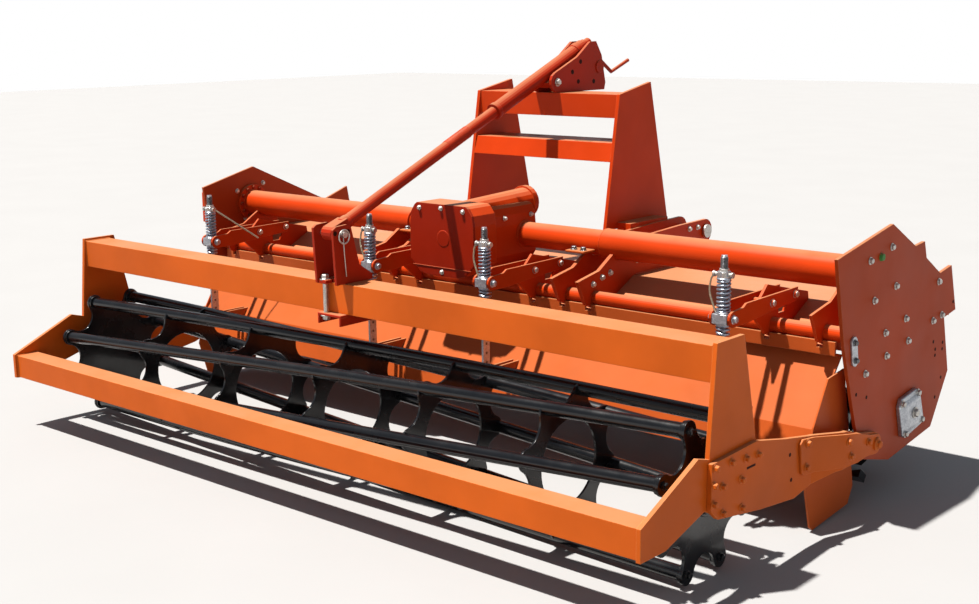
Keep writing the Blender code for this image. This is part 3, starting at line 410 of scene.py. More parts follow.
def add_plate(work, loops, low, high, view="side"):
    """A flat outline with inner loops cut out. A side view is (Y, Z) points and a rear view (X, Z)."""
    curve = bpy.data.curves.new("outline", "CURVE")
    curve.dimensions = "2D"
    curve.fill_mode = "BOTH"
    curve.extrude = (high - low) / 2
    for loop in loops:
        spline = curve.splines.new("POLY")
        spline.points.add(len(loop) - 1)
        for spot, point in zip(spline.points, loop):
            spot.co = (*point, 0.0, 1.0)
        spline.use_cyclic_u = True
    holder = bpy.data.objects.new("outline", curve)
    bpy.context.scene.collection.objects.link(holder)
    ready = holder.evaluated_get(bpy.context.evaluated_depsgraph_get())
    mesh = bpy.data.meshes.new_from_object(ready)
    bpy.data.objects.remove(holder)
    bpy.data.curves.remove(curve)
    middle = (low + high) / 2
    if view == "side":
        turn = Matrix(((0, 0, 1, middle), (1, 0, 0, 0), (0, 1, 0, 0), (0, 0, 0, 1)))
    else:
        turn = Matrix(((1, 0, 0, 0), (0, 0, -1, middle), (0, 1, 0, 0), (0, 0, 0, 1)))
    add_mesh(work, mesh, turn)


def circle(centre, radius, steps=24):
    angles = [2 * pi * i / steps for i in range(steps)]
    return [(centre[0] + radius * cos(a), centre[1] + radius * sin(a)) for a in angles]


def add_lathe(work, profile, start, direction, steps=24):
    """A profile of (distance along, radius) points turned about a line from start."""
    matrix = Matrix.Translation(Vector(start)) @ turn_to(direction)
    rings = []
    for along, radius in profile:
        angles = [2 * pi * k / steps for k in range(steps)]
        ring = [matrix @ Vector((radius * cos(a), radius * sin(a), along)) for a in angles]
        rings.append([work.verts.new(point) for point in ring])
    for one, two in zip(rings, rings[1:]):
        for k in range(steps):
            work.faces.new((one[k], one[(k + 1) % steps], two[(k + 1) % steps], two[k]))
    work.faces.new(rings[0][::-1])
    work.faces.new(rings[-1])


def piece(name, work, body, slot, material=None, bevel=0.0, replaces=()):
    """Closes off a bmesh as a piece that rides on a body."""
    mesh = bpy.data.meshes.new(name)
    bmesh.ops.remove_doubles(work, verts=work.verts, dist=1e-6)
    bmesh.ops.recalc_face_normals(work, faces=work.faces)
    work.to_mesh(mesh)
    work.free()
    made = bpy.data.objects.new(name, mesh)
    bpy.context.scene.collection.objects.link(made)
    mesh.materials.append(material or MATERIALS[slot])
    mesh.shade_smooth()
    mesh.set_sharp_from_angle(angle=radians(32))
    if bevel:
        step = made.modifiers.new("edges", "BEVEL")
        step.width = bevel
        step.segments = 2
        step.limit_method = "ANGLE"
    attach(made, body)
    if replaces:
        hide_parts(*replaces)
    return made


# Depth rods


def helix(x, centre, low, high, turns, radius, steps=18):
    """Points up a coil about a depth rod, with its end turns lying flat."""
    points = []
    total = int(turns * steps)
    for i in range(total + 1):
        share = i / total
        height = low + (high - low) * (share - 0.10 * sin(2 * pi * share) / (2 * pi))
        angle = 2 * pi * turns * share
        points.append((x + radius * cos(angle), centre + radius * sin(angle), height))
    return points


def springs():
    """Coils above the trunnion blocks, which stay, and below them, which the collars press up."""
    upper, lower = bmesh.new(), bmesh.new()
    for x in ROD_PLACES:
        for work, spring, turns in (
            (upper, UPPER_SPRING, UPPER_TURNS),
            (lower, LOWER_SPRING, LOWER_TURNS),
        ):
            coil = helix(x, TRUNNION[0], *spring, turns, COIL_RADIUS)
            add_tube(work, coil, WIRE_RADIUS)
            for z in spring:
                add_tube(work, circle_3d((x, TRUNNION[0], z), COIL_RADIUS), WIRE_RADIUS, closed=True)
    piece("upper_springs", upper, "spring_packs", "zinc", BLUE_SPRING)
    low = piece("lower_springs", lower, "spring_packs", "zinc", BLUE_SPRING)
    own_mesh(low)


def circle_3d(centre, radius, steps=18):
    angles = [2 * pi * i / steps for i in range(steps)]
    return [(centre[0] + radius * cos(a), centre[1] + radius * sin(a), centre[2]) for a in angles]


def trunnion_blocks():
    """The cast blocks that pivot in the arms, each with its pins, nuts and a seat for each spring."""
    work = bmesh.new()
    y, z = TRUNNION
    for x in ROD_PLACES:
        add_box(work, (x - 0.027, y - 0.026, z - 0.016), (x + 0.027, y + 0.026, z + 0.016))
        add_rod(work, (x, y, z - 0.021), (x, y, z + 0.021), 0.0255, steps=28)
        for side in (-1, 1):
            add_rod(work, (x + side * 0.026, y, z), (x + side * 0.040, y, z), 0.012)
            add_bolt(work, (x + side * 0.038, y, z), (side, 0, 0), 0.0135, 0.011)
    names = [f"spring_pack_{number}" for number in range(1, 5)]
    piece("trunnion_blocks", work, "spring_packs", "zinc", bevel=0.002, replaces=names)


def rod_details():
    """Threads, wing nuts with bent wire handles, and the pins in the strap eyes."""
    threads, nuts, wires, pins = bmesh.new(), bmesh.new(), bmesh.new(), bmesh.new()
    y = TRUNNION[0]
    core, crest = 0.0105, 0.0125
    turns = int((THREAD[1] - THREAD[0]) / THREAD_PITCH)
    for number, x in enumerate(ROD_PLACES):
        profile = [(0.0, core)]
        for turn in range(turns):
            profile.append((THREAD_PITCH * (turn + 0.25), crest))
            profile.append((THREAD_PITCH * (turn + 0.75), core))
        add_lathe(threads, profile, (x, y, THREAD[0]), (0, 0, 1), 16)
        add_rod(nuts, (x, y, 0.823), (x, y, 0.842), 0.0205, steps=20)
        add_rod(nuts, (x, y, 0.842), (x, y, 0.853), 0.0165, 0.015, steps=20)
        for side in (-1, 1):
            back = y - 0.004
            stem, tip, end = (x + side * reach for reach in (0.031, 0.029, 0.036))
            add_rod(nuts, (x, y, WING_Z), (stem, back, WING_Z), 0.0065, steps=12)
            add_rod(nuts, (tip, back, WING_Z), (end, back, WING_Z), 0.0095)
        if number == 0:
            route = [(x + 0.030, y, WING_Z), (x + 0.050, y + 0.020, 0.815)]
            route += [(x + 0.130, y + 0.155, 0.700)]
        else:
            route = [(x - 0.020, y, 0.836), (x - 0.043, y - 0.004, 0.830)]
            route += [(x - 0.050, y - 0.006, 0.775), (x - 0.026, y - 0.006, 0.712)]
        add_tube(wires, rounded_route(route), 0.0035)
        eye_y, eye_z = ROD_EYE
        add_rod(pins, (x - 0.024, eye_y, eye_z), (x + 0.024, eye_y, eye_z), 0.009)
        add_bolt(pins, (x + 0.019, eye_y, eye_z), (1, 0, 0), 0.011, 0.009)
        for z in (0.395, 0.430, 0.465):
            add_rod(pins, (x - 0.0044, eye_y, z), (x + 0.0044, eye_y, z), 0.0055)
    piece("rod_threads", threads, "spring_rods", "zinc", DARK_STEEL)
    piece("rod_nuts", nuts, "spring_rods", "zinc", BOLT_STEEL)
    piece("rod_wires", wires, "spring_rods", "zinc", BRASSY)
    piece("strap_pins", pins, "spring_rods", "zinc", DARK_STEEL)


# Bolts and plates on the frame


def bolt_rows():
    """Bolt heads on the side plates, rod arms and hitch plates, and inside the headstock."""
    work = bmesh.new()
    side_spots = [(0.306, 0.880), (0.150, 0.855), (0.350, 0.743), (0.191, 0.719), (0.439, 0.617)]
    side_spots += [(0.284, 0.595), (0.466, 0.535), (0.300, 0.514), (0.148, 0.483), (0.700, 0.705)]
    side_spots += [(0.740, 0.579), (0.666, 0.570)]
    hitch_spots = [(0.060, 0.672), (0.115, 0.690), (0.165, 0.700), (0.340, 0.725), (0.400, 0.730)]
    for y, z in side_spots:
        add_bolt(work, (HALF_WIDTH, y, z), (1, 0, 0), 0.0115)
        for side in (-1, 1):
            inner = side * (HALF_WIDTH - SIDE_THICK)
            add_bolt(work, (inner, y, z), (-side, 0, 0), 0.010, 0.008)
    for x in ROD_PLACES:
        for y, z in ((0.005, 0.708), (0.157, 0.714)):
            for side in (-1, 1):
                add_bolt(work, (x + side * 0.038, y, z), (side, 0, 0), 0.0125, 0.010)
    for side in (-1, 1):
        for y, z in hitch_spots:
            add_bolt(work, (side * HITCH_OUTER, y, z), (side, 0, 0), 0.011)
            add_bolt(work, (side * HITCH_INNER, y, z), (-side, 0, 0), 0.011)
        for y in (0.70, 0.76):
            add_bolt(work, (side * HITCH_OUTER, y, 0.800), (side, 0, 0), 0.010)
        for y in (0.50, 0.58, 0.66, 0.72):
            add_bolt(work, (side * 0.355, y, 0.835), (-side, 0, 0), 0.011)
    piece("frame_bolts", work, "frame", "zinc", BOLT_STEEL)


def main_tubes():
    """Round main tubes: a thin part by the gearbox, a wider sleeve, and a bolted end flange."""
    work = bmesh.new()
    inner, outer = (corner.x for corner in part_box("main_tube_right"))
    flange = outer - FLANGE_THICK
    profile = [(inner, THIN_RADIUS), (SLEEVE_START - 0.002, THIN_RADIUS)]
    profile += [(SLEEVE_START, SLEEVE_RADIUS), (flange, SLEEVE_RADIUS)]
    profile += [(flange, FLANGE_RADIUS), (outer, FLANGE_RADIUS)]
    for side in (-1, 1):
        add_lathe(work, profile, (0, *TUBE), (side, 0, 0), 72)
    piece("tubes", work, "frame", "tiller_paint", replaces=["main_tube_left", "main_tube_right"])


def tube_flanges():
    """Bolt rings at the main tubes' outer flanges, the sleeves' end rings and the weld beads."""
    bolts, beads = bmesh.new(), bmesh.new()
    for side in (-1, 1):
        for y, z in circle(TUBE, 0.072, FLANGE_BOLTS):
            add_bolt(bolts, (side * 1.5735, y, z), (-side, 0, 0), 0.0085, 0.008)
        for x, radius in ((SLEEVE_START, 0.054), (0.1015, 0.0515), (1.5725, 0.0585)):
            ring = [(side * x, y, z) for y, z in circle(TUBE, radius, 48)]
            add_tube(beads, ring, 0.0038, closed=True)
        for y in (0.497, 0.668):
            add_tube(beads, [(side * 0.354, y, 1.245 + 0.01 * k) for k in range(10)], 0.004, 6)
        for place in (HITCH_INNER, 0.445, 0.550, HITCH_OUTER):
            route = [(side * place, y, 0.6695) for y in (0.33, 0.45, 0.60, 0.70)]
            add_tube(beads, route, 0.0032, 6)
    piece("tube_flange_bolts", bolts, "frame", "tiller_paint", COVER_PAINT)
    piece("weld_beads", beads, "frame", "tiller_paint")


def clamp_tabs():
    """The small clamp plates at the main tube's rear, each with two bolts."""
    plates, bolts = bmesh.new(), bmesh.new()
    for side in (-1, 1):
        x = side * 0.4375
        add_box(plates, (x - 0.043, 0.112, 0.768), (x + 0.043, 0.187, 0.777))
        for spot in (-0.022, 0.022):
            add_bolt(bolts, (x + spot, 0.140, 0.777), (0, 0, 1), 0.012, 0.011)
    piece("clamp_tabs", plates, "frame", "tiller_paint", SHEET_PAINT, bevel=0.003)
    piece("clamp_bolts", bolts, "frame", "zinc", DARK_STEEL)


def side_plate_details():
    """The right plate's oblong link with its bolts, its filler plug, and dark discs of painted shade
    for both plates' spare holes.
    """
    link, holes, bolts, plug = bmesh.new(), bmesh.new(), bmesh.new(), bmesh.new()
    face = HALF_WIDTH
    ends = [(0.051, 0.605), (0.062, 0.545)]
    outline = []
    for (y, z), start in zip(ends, (0, 180)):
        angles = [radians(start - 10 + 180 * k / 10) for k in range(11)]
        outline += [(y + 0.020 * cos(a), z + 0.020 * sin(a)) for a in angles]
    add_plate(link, [outline], face, face + 0.007)
    for y, z in ends:
        add_bolt(bolts, (face + 0.007, y, z), (1, 0, 0), 0.010)
    spots = [(0.682, 0.491), (0.702, 0.460), (0.702, 0.438), (0.763, 0.474), (0.763, 0.450)]
    spots += [(0.838, 0.611), (0.090, 0.425), (0.166, 0.400), (0.072, 0.300), (0.764, 0.345)]
    spots += [(0.720, 0.280)]
    for y, z in spots:
        for side in (-1, 1):
            start = (side * (face - 0.013), y, z)
            add_rod(holes, start, (side * (face + 0.0006), y, z), 0.0065, steps=14)
    add_rod(plug, (face, 0.228, 0.857), (face + 0.010, 0.228, 0.857), 0.014, 0.011, 24)
    piece("plate_link", link, "frame", "zinc", bevel=0.0015)
    piece("plate_hole_shade", holes, "frame", "black_gloss", HOLE_SHADE)
    piece("link_bolts", bolts, "frame", "zinc", DARK_STEEL)
    piece("oil_plug", plug, "frame", "zinc", GREEN_PLUG)


def drive_case():
    """The side case on the left plate: a body, a raised cover, and bolts round its edge."""
    cover_face = -HALF_WIDTH - 0.044
    body, bolts = bmesh.new(), bmesh.new()
    axle_y, axle_z = ROTOR_AXLE
    outline = [(-0.020, 0.862), (-0.020, 0.726), (0.110, 0.700), (0.120, 0.500), (0.230, 0.330)]
    angles = [radians(215 + 135 * step / 7) for step in range(8)]
    outline += [(axle_y + 0.125 * cos(a), axle_z + 0.125 * sin(a)) for a in angles]
    outline += [(0.560, 0.600), (0.470, 0.850), (0.330, 0.925), (0.150, 0.925)]
    middle = Vector((0.330, 0.560))
    add_plate(body, [outline], -HALF_WIDTH - 0.036, -HALF_WIDTH - 0.0004)
    cover = [tuple(middle + (Vector(point) - middle) * 0.955) for point in outline]
    add_plate(body, [cover], cover_face, -HALF_WIDTH - 0.030)
    spots = [middle + (Vector(point) - middle) * 0.90 for point in outline]
    for one, two in zip(spots, spots[1:] + spots[:1]):
        for share in (0.0, 0.5) if (two - one).length > 0.12 else (0.0,):
            spot = one.lerp(two, share)
            add_bolt(bolts, (cover_face, *spot), (-1, 0, 0), 0.0105, 0.008)
    add_bolt(bolts, (cover_face, 0.400, 0.640), (-1, 0, 0), 0.016, 0.007)
    piece("case_body", body, "frame", "tiller_paint", bevel=0.003, replaces=["drive_case"])
    piece("case_bolts", bolts, "frame", "zinc", BOLT_STEEL)


def bearing_cap():
    """The pressed zinc cap on the right plate, raised in the middle, with bolts at its corners."""
    cap, bolts = bmesh.new(), bmesh.new()
    corners = [(-0.095, 0.035), (-0.080, 0.062), (0.030, 0.075), (0.062, 0.070)]
    corners += [(0.105, -0.040), (0.090, -0.062), (-0.040, -0.085), (-0.062, -0.075)]
    axle_y, axle_z = ROTOR_AXLE
    base = HALF_WIDTH + 0.0006
    layers = [(0.0, 1.0), (0.013, 1.0), (0.016, 0.97), (0.017, 0.80), (0.024, 0.66)]
    layers += [(0.027, 0.50), (0.027, 0.02)]
    rings = []
    for depth, share in layers:
        ring = [(base + depth, axle_y + y * share, axle_z + z * share) for y, z in corners]
        rings.append([cap.verts.new(point) for point in ring])
    count = len(corners)
    for one, two in zip(rings, rings[1:]):
        for k in range(count):
            cap.faces.new((one[k], one[(k + 1) % count], two[(k + 1) % count], two[k]))
    cap.faces.new(rings[0][::-1])
    cap.faces.new(rings[-1])
    for y, z in ((-0.076, 0.044), (0.044, 0.060), (0.084, -0.044), (-0.044, -0.068)):
        add_bolt(bolts, (base + 0.0155, axle_y + y, axle_z + z), (1, 0, 0), 0.0125, 0.009)
    add_bolt(bolts, (base + 0.0268, axle_y, axle_z), (1, 0, 0), 0.018, 0.011)
    piece("cap_plate", cap, "frame", "zinc", bevel=0.002, replaces=["bearing_cap"])
    piece("cap_bolts", bolts, "frame", "zinc", BOLT_STEEL)


def gearbox_details():
    """The cover's lip and centre boss, its bolts, and the bolts of the body and nose flange."""
    trim, bolts = bmesh.new(), bmesh.new()
    base = 0.668
    right = [(0.078, base + 0.004), (0.113, base + 0.013), (0.160, base + 0.057), (0.160, 0.870)]
    right += [(0.154, 0.908), (0.135, 0.935), (0.122, 0.942)]
    loop = right + [(-x, z) for x, z in reversed(right)]
    route = [(x, GEARBOX_BACK + 0.0125, z) for x, z in loop]
    add_tube(trim, route, 0.0030, 6, closed=True)
    seam = GEARBOX_BACK - 0.0002
    add_tube(trim, [(-0.150, seam, 0.702), (0.150, seam, 0.702)], 0.0022, 6)
    boss, proud = GEARBOX_BACK + 0.001, GEARBOX_BACK - 0.0015
    add_rod(trim, (0.010, boss, 0.815), (0.010, proud, 0.815), 0.034, 0.030, 32)
    for x, z in ((-0.112, 0.925), (0.0, 0.930), (0.112, 0.925), (0.0, 0.685)):
        add_bolt(bolts, (x, GEARBOX_BACK, z), (0, -1, 0), 0.0088, 0.007)
    count = 8
    for number in range(count):
        angle = 2 * pi * (number + 0.5) / count
        x, z = 0.050 * cos(angle), INPUT_Z + 0.050 * sin(angle)
        add_bolt(bolts, (x, 0.365, z), (0, 1, 0), 0.0070, 0.006)
    for side in (-1, 1):
        for y, z in ((0.110, 0.870), (0.270, 0.870)):
            add_bolt(bolts, (side * 0.100, y, z), (side, 0, 0), 0.009)
    piece("gearbox_trim", trim, "frame", "tiller_paint", COVER_PAINT)
    piece("gearbox_bolts", bolts, "frame", "zinc", BOLT_STEEL)


def input_splines():
    """The splined shaft end."""
    work = bmesh.new()
    count, outer, inner = 20, 0.0222, 0.0185
    outline = []
    for number in range(count):
        angle = 2 * pi * number / count
        for share, radius in ((-0.30, inner), (-0.18, outer), (0.18, outer), (0.30, inner)):
            a = angle + 2 * pi / count * share
            outline.append((radius * cos(a), INPUT_Z + radius * sin(a)))
    add_plate(work, [outline], 0.382, 0.4185, "rear")
    add_rod(work, (0, 0.3657, INPUT_Z), (0, 0.383, INPUT_Z), outer, steps=32)
    piece("input_spline", work, "input_shaft", "black_gloss", DARK_STEEL, replaces=["input_shaft"])


# Jack


def jack_point(along):
    """A point on the jack's middle line, at a distance from its lower eye."""
    return (0.0, JACK_EYE[0] + along * cos(JACK_ANGLE), JACK_EYE[1] + along * sin(JACK_ANGLE))


def jack_details():
    """Collars on the barrel, ridges on the screw, the eye pin with its ring, and dark discs of painted
    shade for spare holes.
    """
    barrel, screw, pin, holes = bmesh.new(), bmesh.new(), bmesh.new(), bmesh.new()
    along = Vector(jack_point(1.0)) - Vector(jack_point(0.0))
    profile = [(0.0, 0.0235), (0.0, 0.033), (0.018, 0.033), (0.022, 0.0305)]
    add_lathe(barrel, profile, jack_point(0.948), along, 32)
    profile = [(0.0, 0.0300), (0.003, 0.0335), (0.030, 0.0335), (0.034, 0.030)]
    add_lathe(barrel, profile, jack_point(1.500), along, 32)
    profile = [(0.0, 0.019), (0.0, 0.025), (0.018, 0.025), (0.022, 0.019)]
    add_lathe(barrel, profile, jack_point(1.562), along, 24)
    ridges = [(0.0, 0.0224)]
    for number in range(22):
        ridges += [(0.006 * number + 0.0015, 0.0238), (0.006 * number + 0.0045, 0.0224)]
    add_lathe(screw, ridges, jack_point(0.650), along, 28)
    profile = [(0.0, 0.020), (0.004, 0.0255), (0.030, 0.0255), (0.036, 0.0226)]
    add_lathe(screw, profile, jack_point(0.052), along, 28)
    eye_y, eye_z = JACK_EYE
    add_rod(pin, (-0.068, eye_y, eye_z), (0.072, eye_y, eye_z), 0.0115)
    add_rod(pin, (-0.074, eye_y, eye_z), (-0.066, eye_y, eye_z), 0.019, steps=24)
    ring = [(0.066, y, z) for y, z in circle((eye_y, eye_z - 0.008), 0.024, 20)]
    add_tube(pin, ring, 0.0028, closed=True)
    lanyard = [(0.060, eye_y, eye_z + 0.010), (0.068, eye_y - 0.004, eye_z - 0.060)]
    lanyard += [(0.058, eye_y + 0.012, eye_z - 0.150)]
    add_tube(pin, rounded_route(lanyard), 0.002)
    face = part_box("jack_bracket")[1].x
    for side in (-1, 1):
        for y, z in ((eye_y - 0.032, eye_z + 0.006), (eye_y + 0.030, eye_z + 0.006)):
            start = (side * face * 0.92, y, z)
            add_rod(holes, start, (side * (face + 0.0006), y, z), 0.0085, steps=20)
    piece("jack_collars", barrel, "jack_barrel", "jack_paint")
    piece("jack_ridges", screw, "jack_screw", "jack_paint")
    piece("jack_pin", pin, "roller_frame", "zinc", BOLT_STEEL)
    piece("bracket_hole_shade", holes, "roller_frame", "black_gloss", HOLE_SHADE)


def jack_clamp():
    """The threaded rod and the shoe that hold the jack's bracket on the roller beam."""
    clamp, shoe = bmesh.new(), bmesh.new()
    low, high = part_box("roller_beam")
    x, rear = -0.030, low.y - 0.014
    add_rod(clamp, (x, rear, low.z - 0.024), (x, rear, high.z + 0.030), 0.0085)
    add_bolt(clamp, (x, rear, high.z + 0.011), (0, 0, 1), 0.017, 0.016)
    add_bolt(clamp, (x, rear, low.z - 0.010), (0, 0, -1), 0.017, 0.014)
    piece("clamp_rods", clamp, "roller_frame", "zinc", BOLT_STEEL)
    add_box(shoe, (-0.058, low.y - 0.030, low.z - 0.010), (0.060, high.y + 0.014, low.z - 0.0005))
    for x in (-0.058, 0.052):
        add_box(shoe, (x, low.y - 0.030, low.z - 0.040), (x + 0.008, high.y + 0.010, low.z - 0.009))
    add_box(shoe, (-0.052, low.y - 0.032, high.z - 0.002), (-0.006, low.y - 0.0008, high.z + 0.012))
    piece("clamp_shoe", shoe, "roller_frame", "jack_paint", bevel=0.002)


def headstock_details():
    """Pins and bosses round the top-link yoke, and dark patches of painted shade for holes there and
    on the beams.
    """
    work, steel, holes = bmesh.new(), bmesh.new(), bmesh.new()
    low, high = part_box("headstock_lower_beam")
    for x in (-0.230, 0.150):
        top = high.z + 0.0006
        add_box(holes, (x, low.y + 0.040, top - 0.002), (x + 0.080, low.y + 0.058, top))
        add_box(holes, (x + 0.050, high.y - 0.060, top - 0.002), (x + 0.130, high.y - 0.042, top))
    for side in (-1, 1):
        add_rod(work, (side * YOKE_FACE, *TOP_PIN), (side * 0.0585, *TOP_PIN), 0.026, steps=28)
        add_bolt(steel, (side * YOKE_FACE, *JACK_PIVOT), (side, 0, 0), 0.015, 0.010)
        for y, z in ((0.600, 1.415), (0.655, 1.455), (0.640, 1.375), (0.745, 1.372)):
            add_rod(holes, (side * 0.050, y, z), (side * 0.0547, y, z), 0.0095, steps=20)
        inner, outer, end = (side * reach for reach in (0.427, 0.568, 0.578))
        add_rod(steel, (inner, *HITCH_PIN), (outer, *HITCH_PIN), 0.0178, steps=28)
        add_rod(steel, (outer, *HITCH_PIN), (end, *HITCH_PIN), 0.027, steps=28)
    piece("top_link_bosses", work, "frame", "jack_paint", bevel=0.001)
    piece("yoke_bolts", steel, "frame", "zinc", BOLT_STEEL)
    piece("headstock_hole_shade", holes, "frame", "black_gloss", HOLE_SHADE)


# Roller and its frame


def bent_plate(work, side, sections, bends, thick):
    """A plate in strips of (Y, Z) corners, each with its outer face's X at its two bend lines."""
    for corners, (start, end) in zip(sections, bends):
        rows = []
        for depth in (0.0005, thick):
            row = []
            for y, z in corners:
                share = min(max((y - start[0]) / (end[0] - start[0]), 0.0), 1.0)
                x = start[1] + (end[1] - start[1]) * share
                row.append(work.verts.new((side * (x + depth), y, z)))
            rows.append(row)
        inner, outer = rows
        count = len(corners)
        work.faces.new(inner[::-1])
        work.faces.new(outer)
        for k in range(count):
            after = (k + 1) % count
            at_bend = corners[k][0] in ARM_BENDS
            if not (at_bend and abs(corners[k][0] - corners[after][0]) < 1e-6):
                work.faces.new((inner[k], inner[after], outer[after], outer[k]))


def link_plates(work):
    """The outer plates over the arms' front halves, bent outward with them."""
    rear, front = ARM_BENDS
    eye = circle(FRAME_PIVOT, LINK_EYE_RADIUS, 16)
    pivot = eye[-4:] + eye[:4]
    first = [(-0.232, 0.350), (-0.249, 0.338), (-0.236, 0.240), (-0.219, 0.231)]
    first += [(rear, 0.226), (rear, 0.3407)]
    second = [(rear, 0.3407), (rear, 0.226), (front, 0.2149), (front, 0.3255)]
    third = [(front, 0.3255), (front, 0.2149), (0.062, 0.209), (0.130, 0.214)]
    third += [*pivot, (0.149, 0.282), (0.052, 0.310)]
    base, outer = ARM_FACES
    bends = [((-1.0, base), (rear, base)), ((rear, base), (front, outer))]
    bends += [((front, outer), (1.0, outer))]
    for side in (-1, 1):
        bent_plate(work, side, (first, second, third), bends, LINK_THICK)


def roller_frame_details():
    """The arm's base bolts, the outer link plates with their bolts, dark discs and a slot of painted
    shade for the arms' holes, and the beam's end welds.
    """
    bolts, links, slots, beads = (bmesh.new() for _ in range(4))
    base_spots = [(-0.729, 0.386), (-0.643, 0.382), (-0.561, 0.372), (-0.493, 0.367), (-0.735, 0.336)]
    base_spots += [(-0.689, 0.322), (-0.586, 0.315), (-0.735, 0.281), (-0.685, 0.240), (-0.581, 0.228)]
    base, outer = ARM_FACES
    link_plates(links)
    for side in (-1, 1):
        for y, z in base_spots:
            add_bolt(bolts, (side * base, y, z), (side, 0, 0), 0.0115, 0.012)
        for y, z in ((-0.205, 0.331), (-0.210, 0.255)):
            add_bolt(bolts, (side * (base + LINK_THICK), y, z), (side, 0, 0), 0.0125, 0.010)
        for y, z in ((-0.010, 0.296), (0.010, 0.244), (0.132, 0.262)):
            add_bolt(bolts, (side * (outer + LINK_THICK), y, z), (side, 0, 0), 0.0125, 0.010)
        end = (side * (outer + 0.014), *FRAME_PIVOT)
        add_rod(bolts, (side * outer, *FRAME_PIVOT), end, 0.022, steps=28)
        add_bolt(bolts, (side * (outer + 0.013), *FRAME_PIVOT), (side, 0, 0), 0.016, 0.010)
        proud = side * (base + 0.0006)
        for y, z in ((-0.300, 0.317), (-0.288, 0.234)):
            add_rod(slots, (side * (base - 0.016), y, z), (proud, y, z), 0.0065, steps=16)
        add_box(slots, (side * (base - 0.002), -0.555, 0.337), (proud, -0.507, 0.344))
        for name in ("roller_beam", "bumper_beam"):
            low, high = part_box(name)
            x = side * (high.x - 0.001)
            corners = [(low.y, low.z), (high.y, low.z), (high.y, high.z), (low.y, high.z)]
            add_tube(beads, [(x, y, z) for y, z in corners], 0.0045, 6, closed=True)
    piece("arm_bolts", bolts, "roller_frame", "frame_paint")
    piece("arm_links", links, "roller_frame", "frame_paint", bevel=0.0012)
    piece("arm_hole_shade", slots, "roller_frame", "black_gloss", HOLE_SHADE)
    piece("beam_welds", beads, "roller_frame", "frame_paint")


def polar(radius, angle):
    return (ROLLER_AXLE[0] + radius * cos(angle), ROLLER_AXLE[1] + radius * sin(angle))


def bar_angle(number, along):
    return (number + 0.5) * 2 * pi / BARS + BAR_TWIST * along


def lobed_outline(along, centre, lobe, valley):
    """A closed edge of round lobes by the bars, joined by round hollows down to the valley radius."""
    half = pi / BARS
    reach = centre * cos(half)
    hollow = (centre**2 + valley**2 - 2 * valley * reach - lobe**2) / (2 * (lobe + reach - valley))
    points = []
    for number in range(BARS):
        angle = bar_angle(number, along)
        bar = Vector(polar(centre, angle))
        last = Vector(polar(valley + hollow, angle - half))
        following = Vector(polar(valley + hollow, angle + half))
        start = math.atan2(*reversed(last - bar))
        sweep = (math.atan2(*reversed(following - bar)) - start) % (2 * pi)
        points += [tuple(bar + lobe * Vector((cos(a), sin(a)))) for a in spread(start, sweep, 14)]
        start = math.atan2(*reversed(bar - following))
        after = Vector(polar(centre, angle + 2 * half))
        sweep = (math.atan2(*reversed(after - following)) - start) % (2 * pi) - 2 * pi
        arc = [tuple(following + hollow * Vector((cos(a), sin(a)))) for a in spread(start, sweep, 12)]
        points += arc[1:-1]
    return points


def spread(start, sweep, steps):
    return [start + sweep * step / steps for step in range(steps + 1)]


def roller_cage():
    """Twisted bars, open rings, and end discs with a bolted lobe at each bar."""
    bars, rings, discs, bolts = (bmesh.new() for _ in range(4))
    inner = ROLLER_HALF - 0.0115
    for number in range(BARS):
        points = []
        for step in range(BAR_STEPS + 1):
            along = step / BAR_STEPS
            spot = polar(BAR_PITCH_RADIUS, bar_angle(number, along))
            points.append((inner * (2 * along - 1), *spot))
        add_tube(bars, points, BAR_RADIUS, 20)
    for number in range(1, RINGS + 1):
        along = number / (RINGS + 1)
        x = inner * (2 * along - 1)
        edge = lobed_outline(along, RING_LOBE_PLACE, RING_LOBE, RING_VALLEY)
        add_plate(rings, [edge, circle(ROLLER_AXLE, RING_HOLE, 48)], x - 0.004, x + 0.004)
    for side, along in ((-1, 0.0), (1, 1.0)):
        edge = lobed_outline(along, BAR_PITCH_RADIUS, DISC_LOBE, DISC_VALLEY)
        faces = sorted((side * (ROLLER_HALF - 0.0098), side * (ROLLER_HALF - 0.0002)))
        add_plate(discs, [edge], *faces)
        start = (side * (ROLLER_HALF - 0.001), *ROLLER_AXLE)
        end = (side * (HALF_WIDTH - 0.0505), *ROLLER_AXLE)
        add_rod(discs, start, end, 0.0298, steps=32)
        add_rod(discs, start, (side * (ROLLER_HALF + 0.010), *ROLLER_AXLE), 0.060, steps=40)
        for number in range(BARS):
            spot = polar(BAR_PITCH_RADIUS, bar_angle(number, along))
            add_bolt(bolts, (side * (ROLLER_HALF - 0.0004), *spot), (side, 0, 0), 0.013, 0.011)
            place = (side * (ROLLER_HALF - 0.010), *spot)
            add_rod(discs, place, (side * (ROLLER_HALF - 0.020), *spot), 0.030, steps=28)
        for number in range(6):
            spot = polar(0.045, 2 * pi * number / 6)
            add_bolt(bolts, (side * (ROLLER_HALF + 0.0095), *spot), (side, 0, 0), 0.009, 0.008)
    names = [f"roller_bar_{number}" for number in range(1, BARS + 1)]
    piece("cage_bars", bars, "roller", "black_gloss", replaces=names)
    names = [f"roller_ring_{number}" for number in range(1, RINGS + 1)]
    piece("cage_rings", rings, "roller", "black_gloss", bevel=0.0008, replaces=names)
    names = ["roller_disc_left", "roller_disc_right"]
    piece("cage_discs", discs, "roller", "black_gloss", bevel=0.001, replaces=names)
    piece("cage_bolts", bolts, "roller", "black_gloss")


# Surroundings


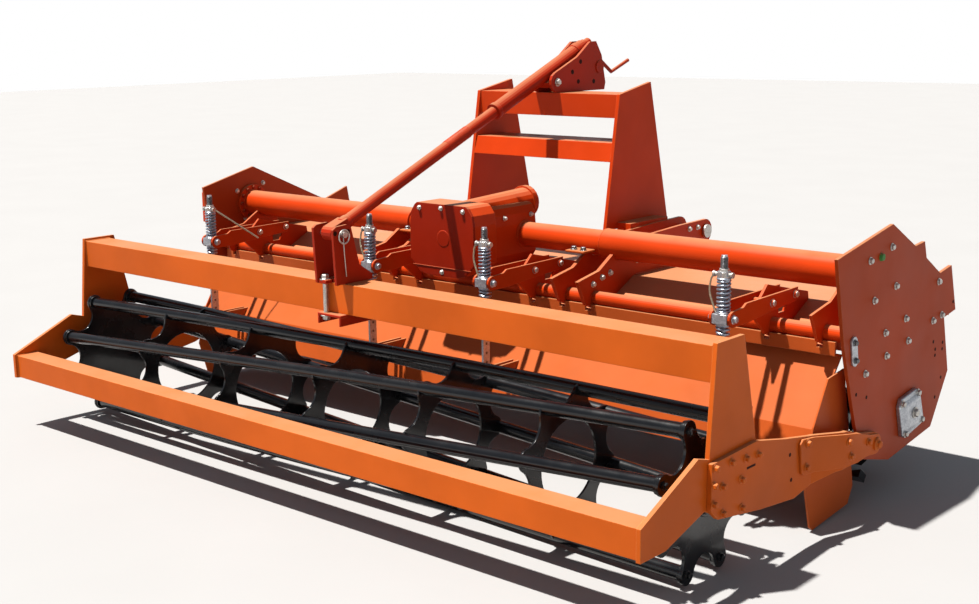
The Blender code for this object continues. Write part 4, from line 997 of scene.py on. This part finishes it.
def surroundings():
    bpy.ops.mesh.primitive_plane_add(size=60, location=(0, 0, -0.0015))
    floor = bpy.context.object
    floor.name = "floor"
    floor.data.materials.append(floor_material())
    sky()
    sun = bpy.data.lights.new("key", "SUN")
    sun.energy = 10.0
    sun.angle = radians(1.5)
    sun.color = (1.0, 0.96, 0.91)
    holder = bpy.data.objects.new("key", sun)
    holder.rotation_euler = (radians(13), radians(-13), 0)
    bpy.context.scene.collection.objects.link(holder)
    bpy.context.scene.view_settings.view_transform = "Standard"


def sky():
    """White at the horizon, and darker overhead so that faces turned from the key stay deep."""
    world = bpy.data.worlds.new("studio")
    bpy.context.scene.world = world
    world.use_nodes = True
    tree = world.node_tree
    place = tree.nodes.new("ShaderNodeTexCoord")
    split = tree.nodes.new("ShaderNodeSeparateXYZ")
    tree.links.new(place.outputs["Generated"], split.inputs[0])
    amount = ramp(tree, split.outputs["Z"], 0.05, 0.18)
    tone = mix_colour(tree, amount, (1.0, 1.0, 1.0), (0.27, 0.29, 0.33))
    tree.links.new(tone, tree.nodes["Background"].inputs["Color"])


def camera():
    yaw, pitch, roll = CAMERA_TURN
    forward = Vector((-sin(yaw) * cos(pitch), cos(yaw) * cos(pitch), -sin(pitch)))
    level = Vector((cos(yaw), sin(yaw), 0))
    over = level.cross(forward)
    right = level * cos(roll) + over * sin(roll)
    up = over * cos(roll) - level * sin(roll)
    lens = bpy.data.cameras.new("camera")
    lens.sensor_width = 36.0
    lens.lens = CAMERA_LENS
    made = bpy.data.objects.new("camera", lens)
    turn = Matrix((right, up, -forward)).transposed().to_4x4()
    made.matrix_world = Matrix.Translation(CAMERA_PLACE) @ turn
    bpy.context.scene.collection.objects.link(made)
    bpy.context.scene.camera = made


camera()
surroundings()
finish_frame()
springs()
trunnion_blocks()
rod_details()
bolt_rows()
main_tubes()
tube_flanges()
clamp_tabs()
side_plate_details()
drive_case()
bearing_cap()
gearbox_details()
input_splines()
jack_details()
jack_clamp()
headstock_details()
roller_frame_details()
roller_cage()
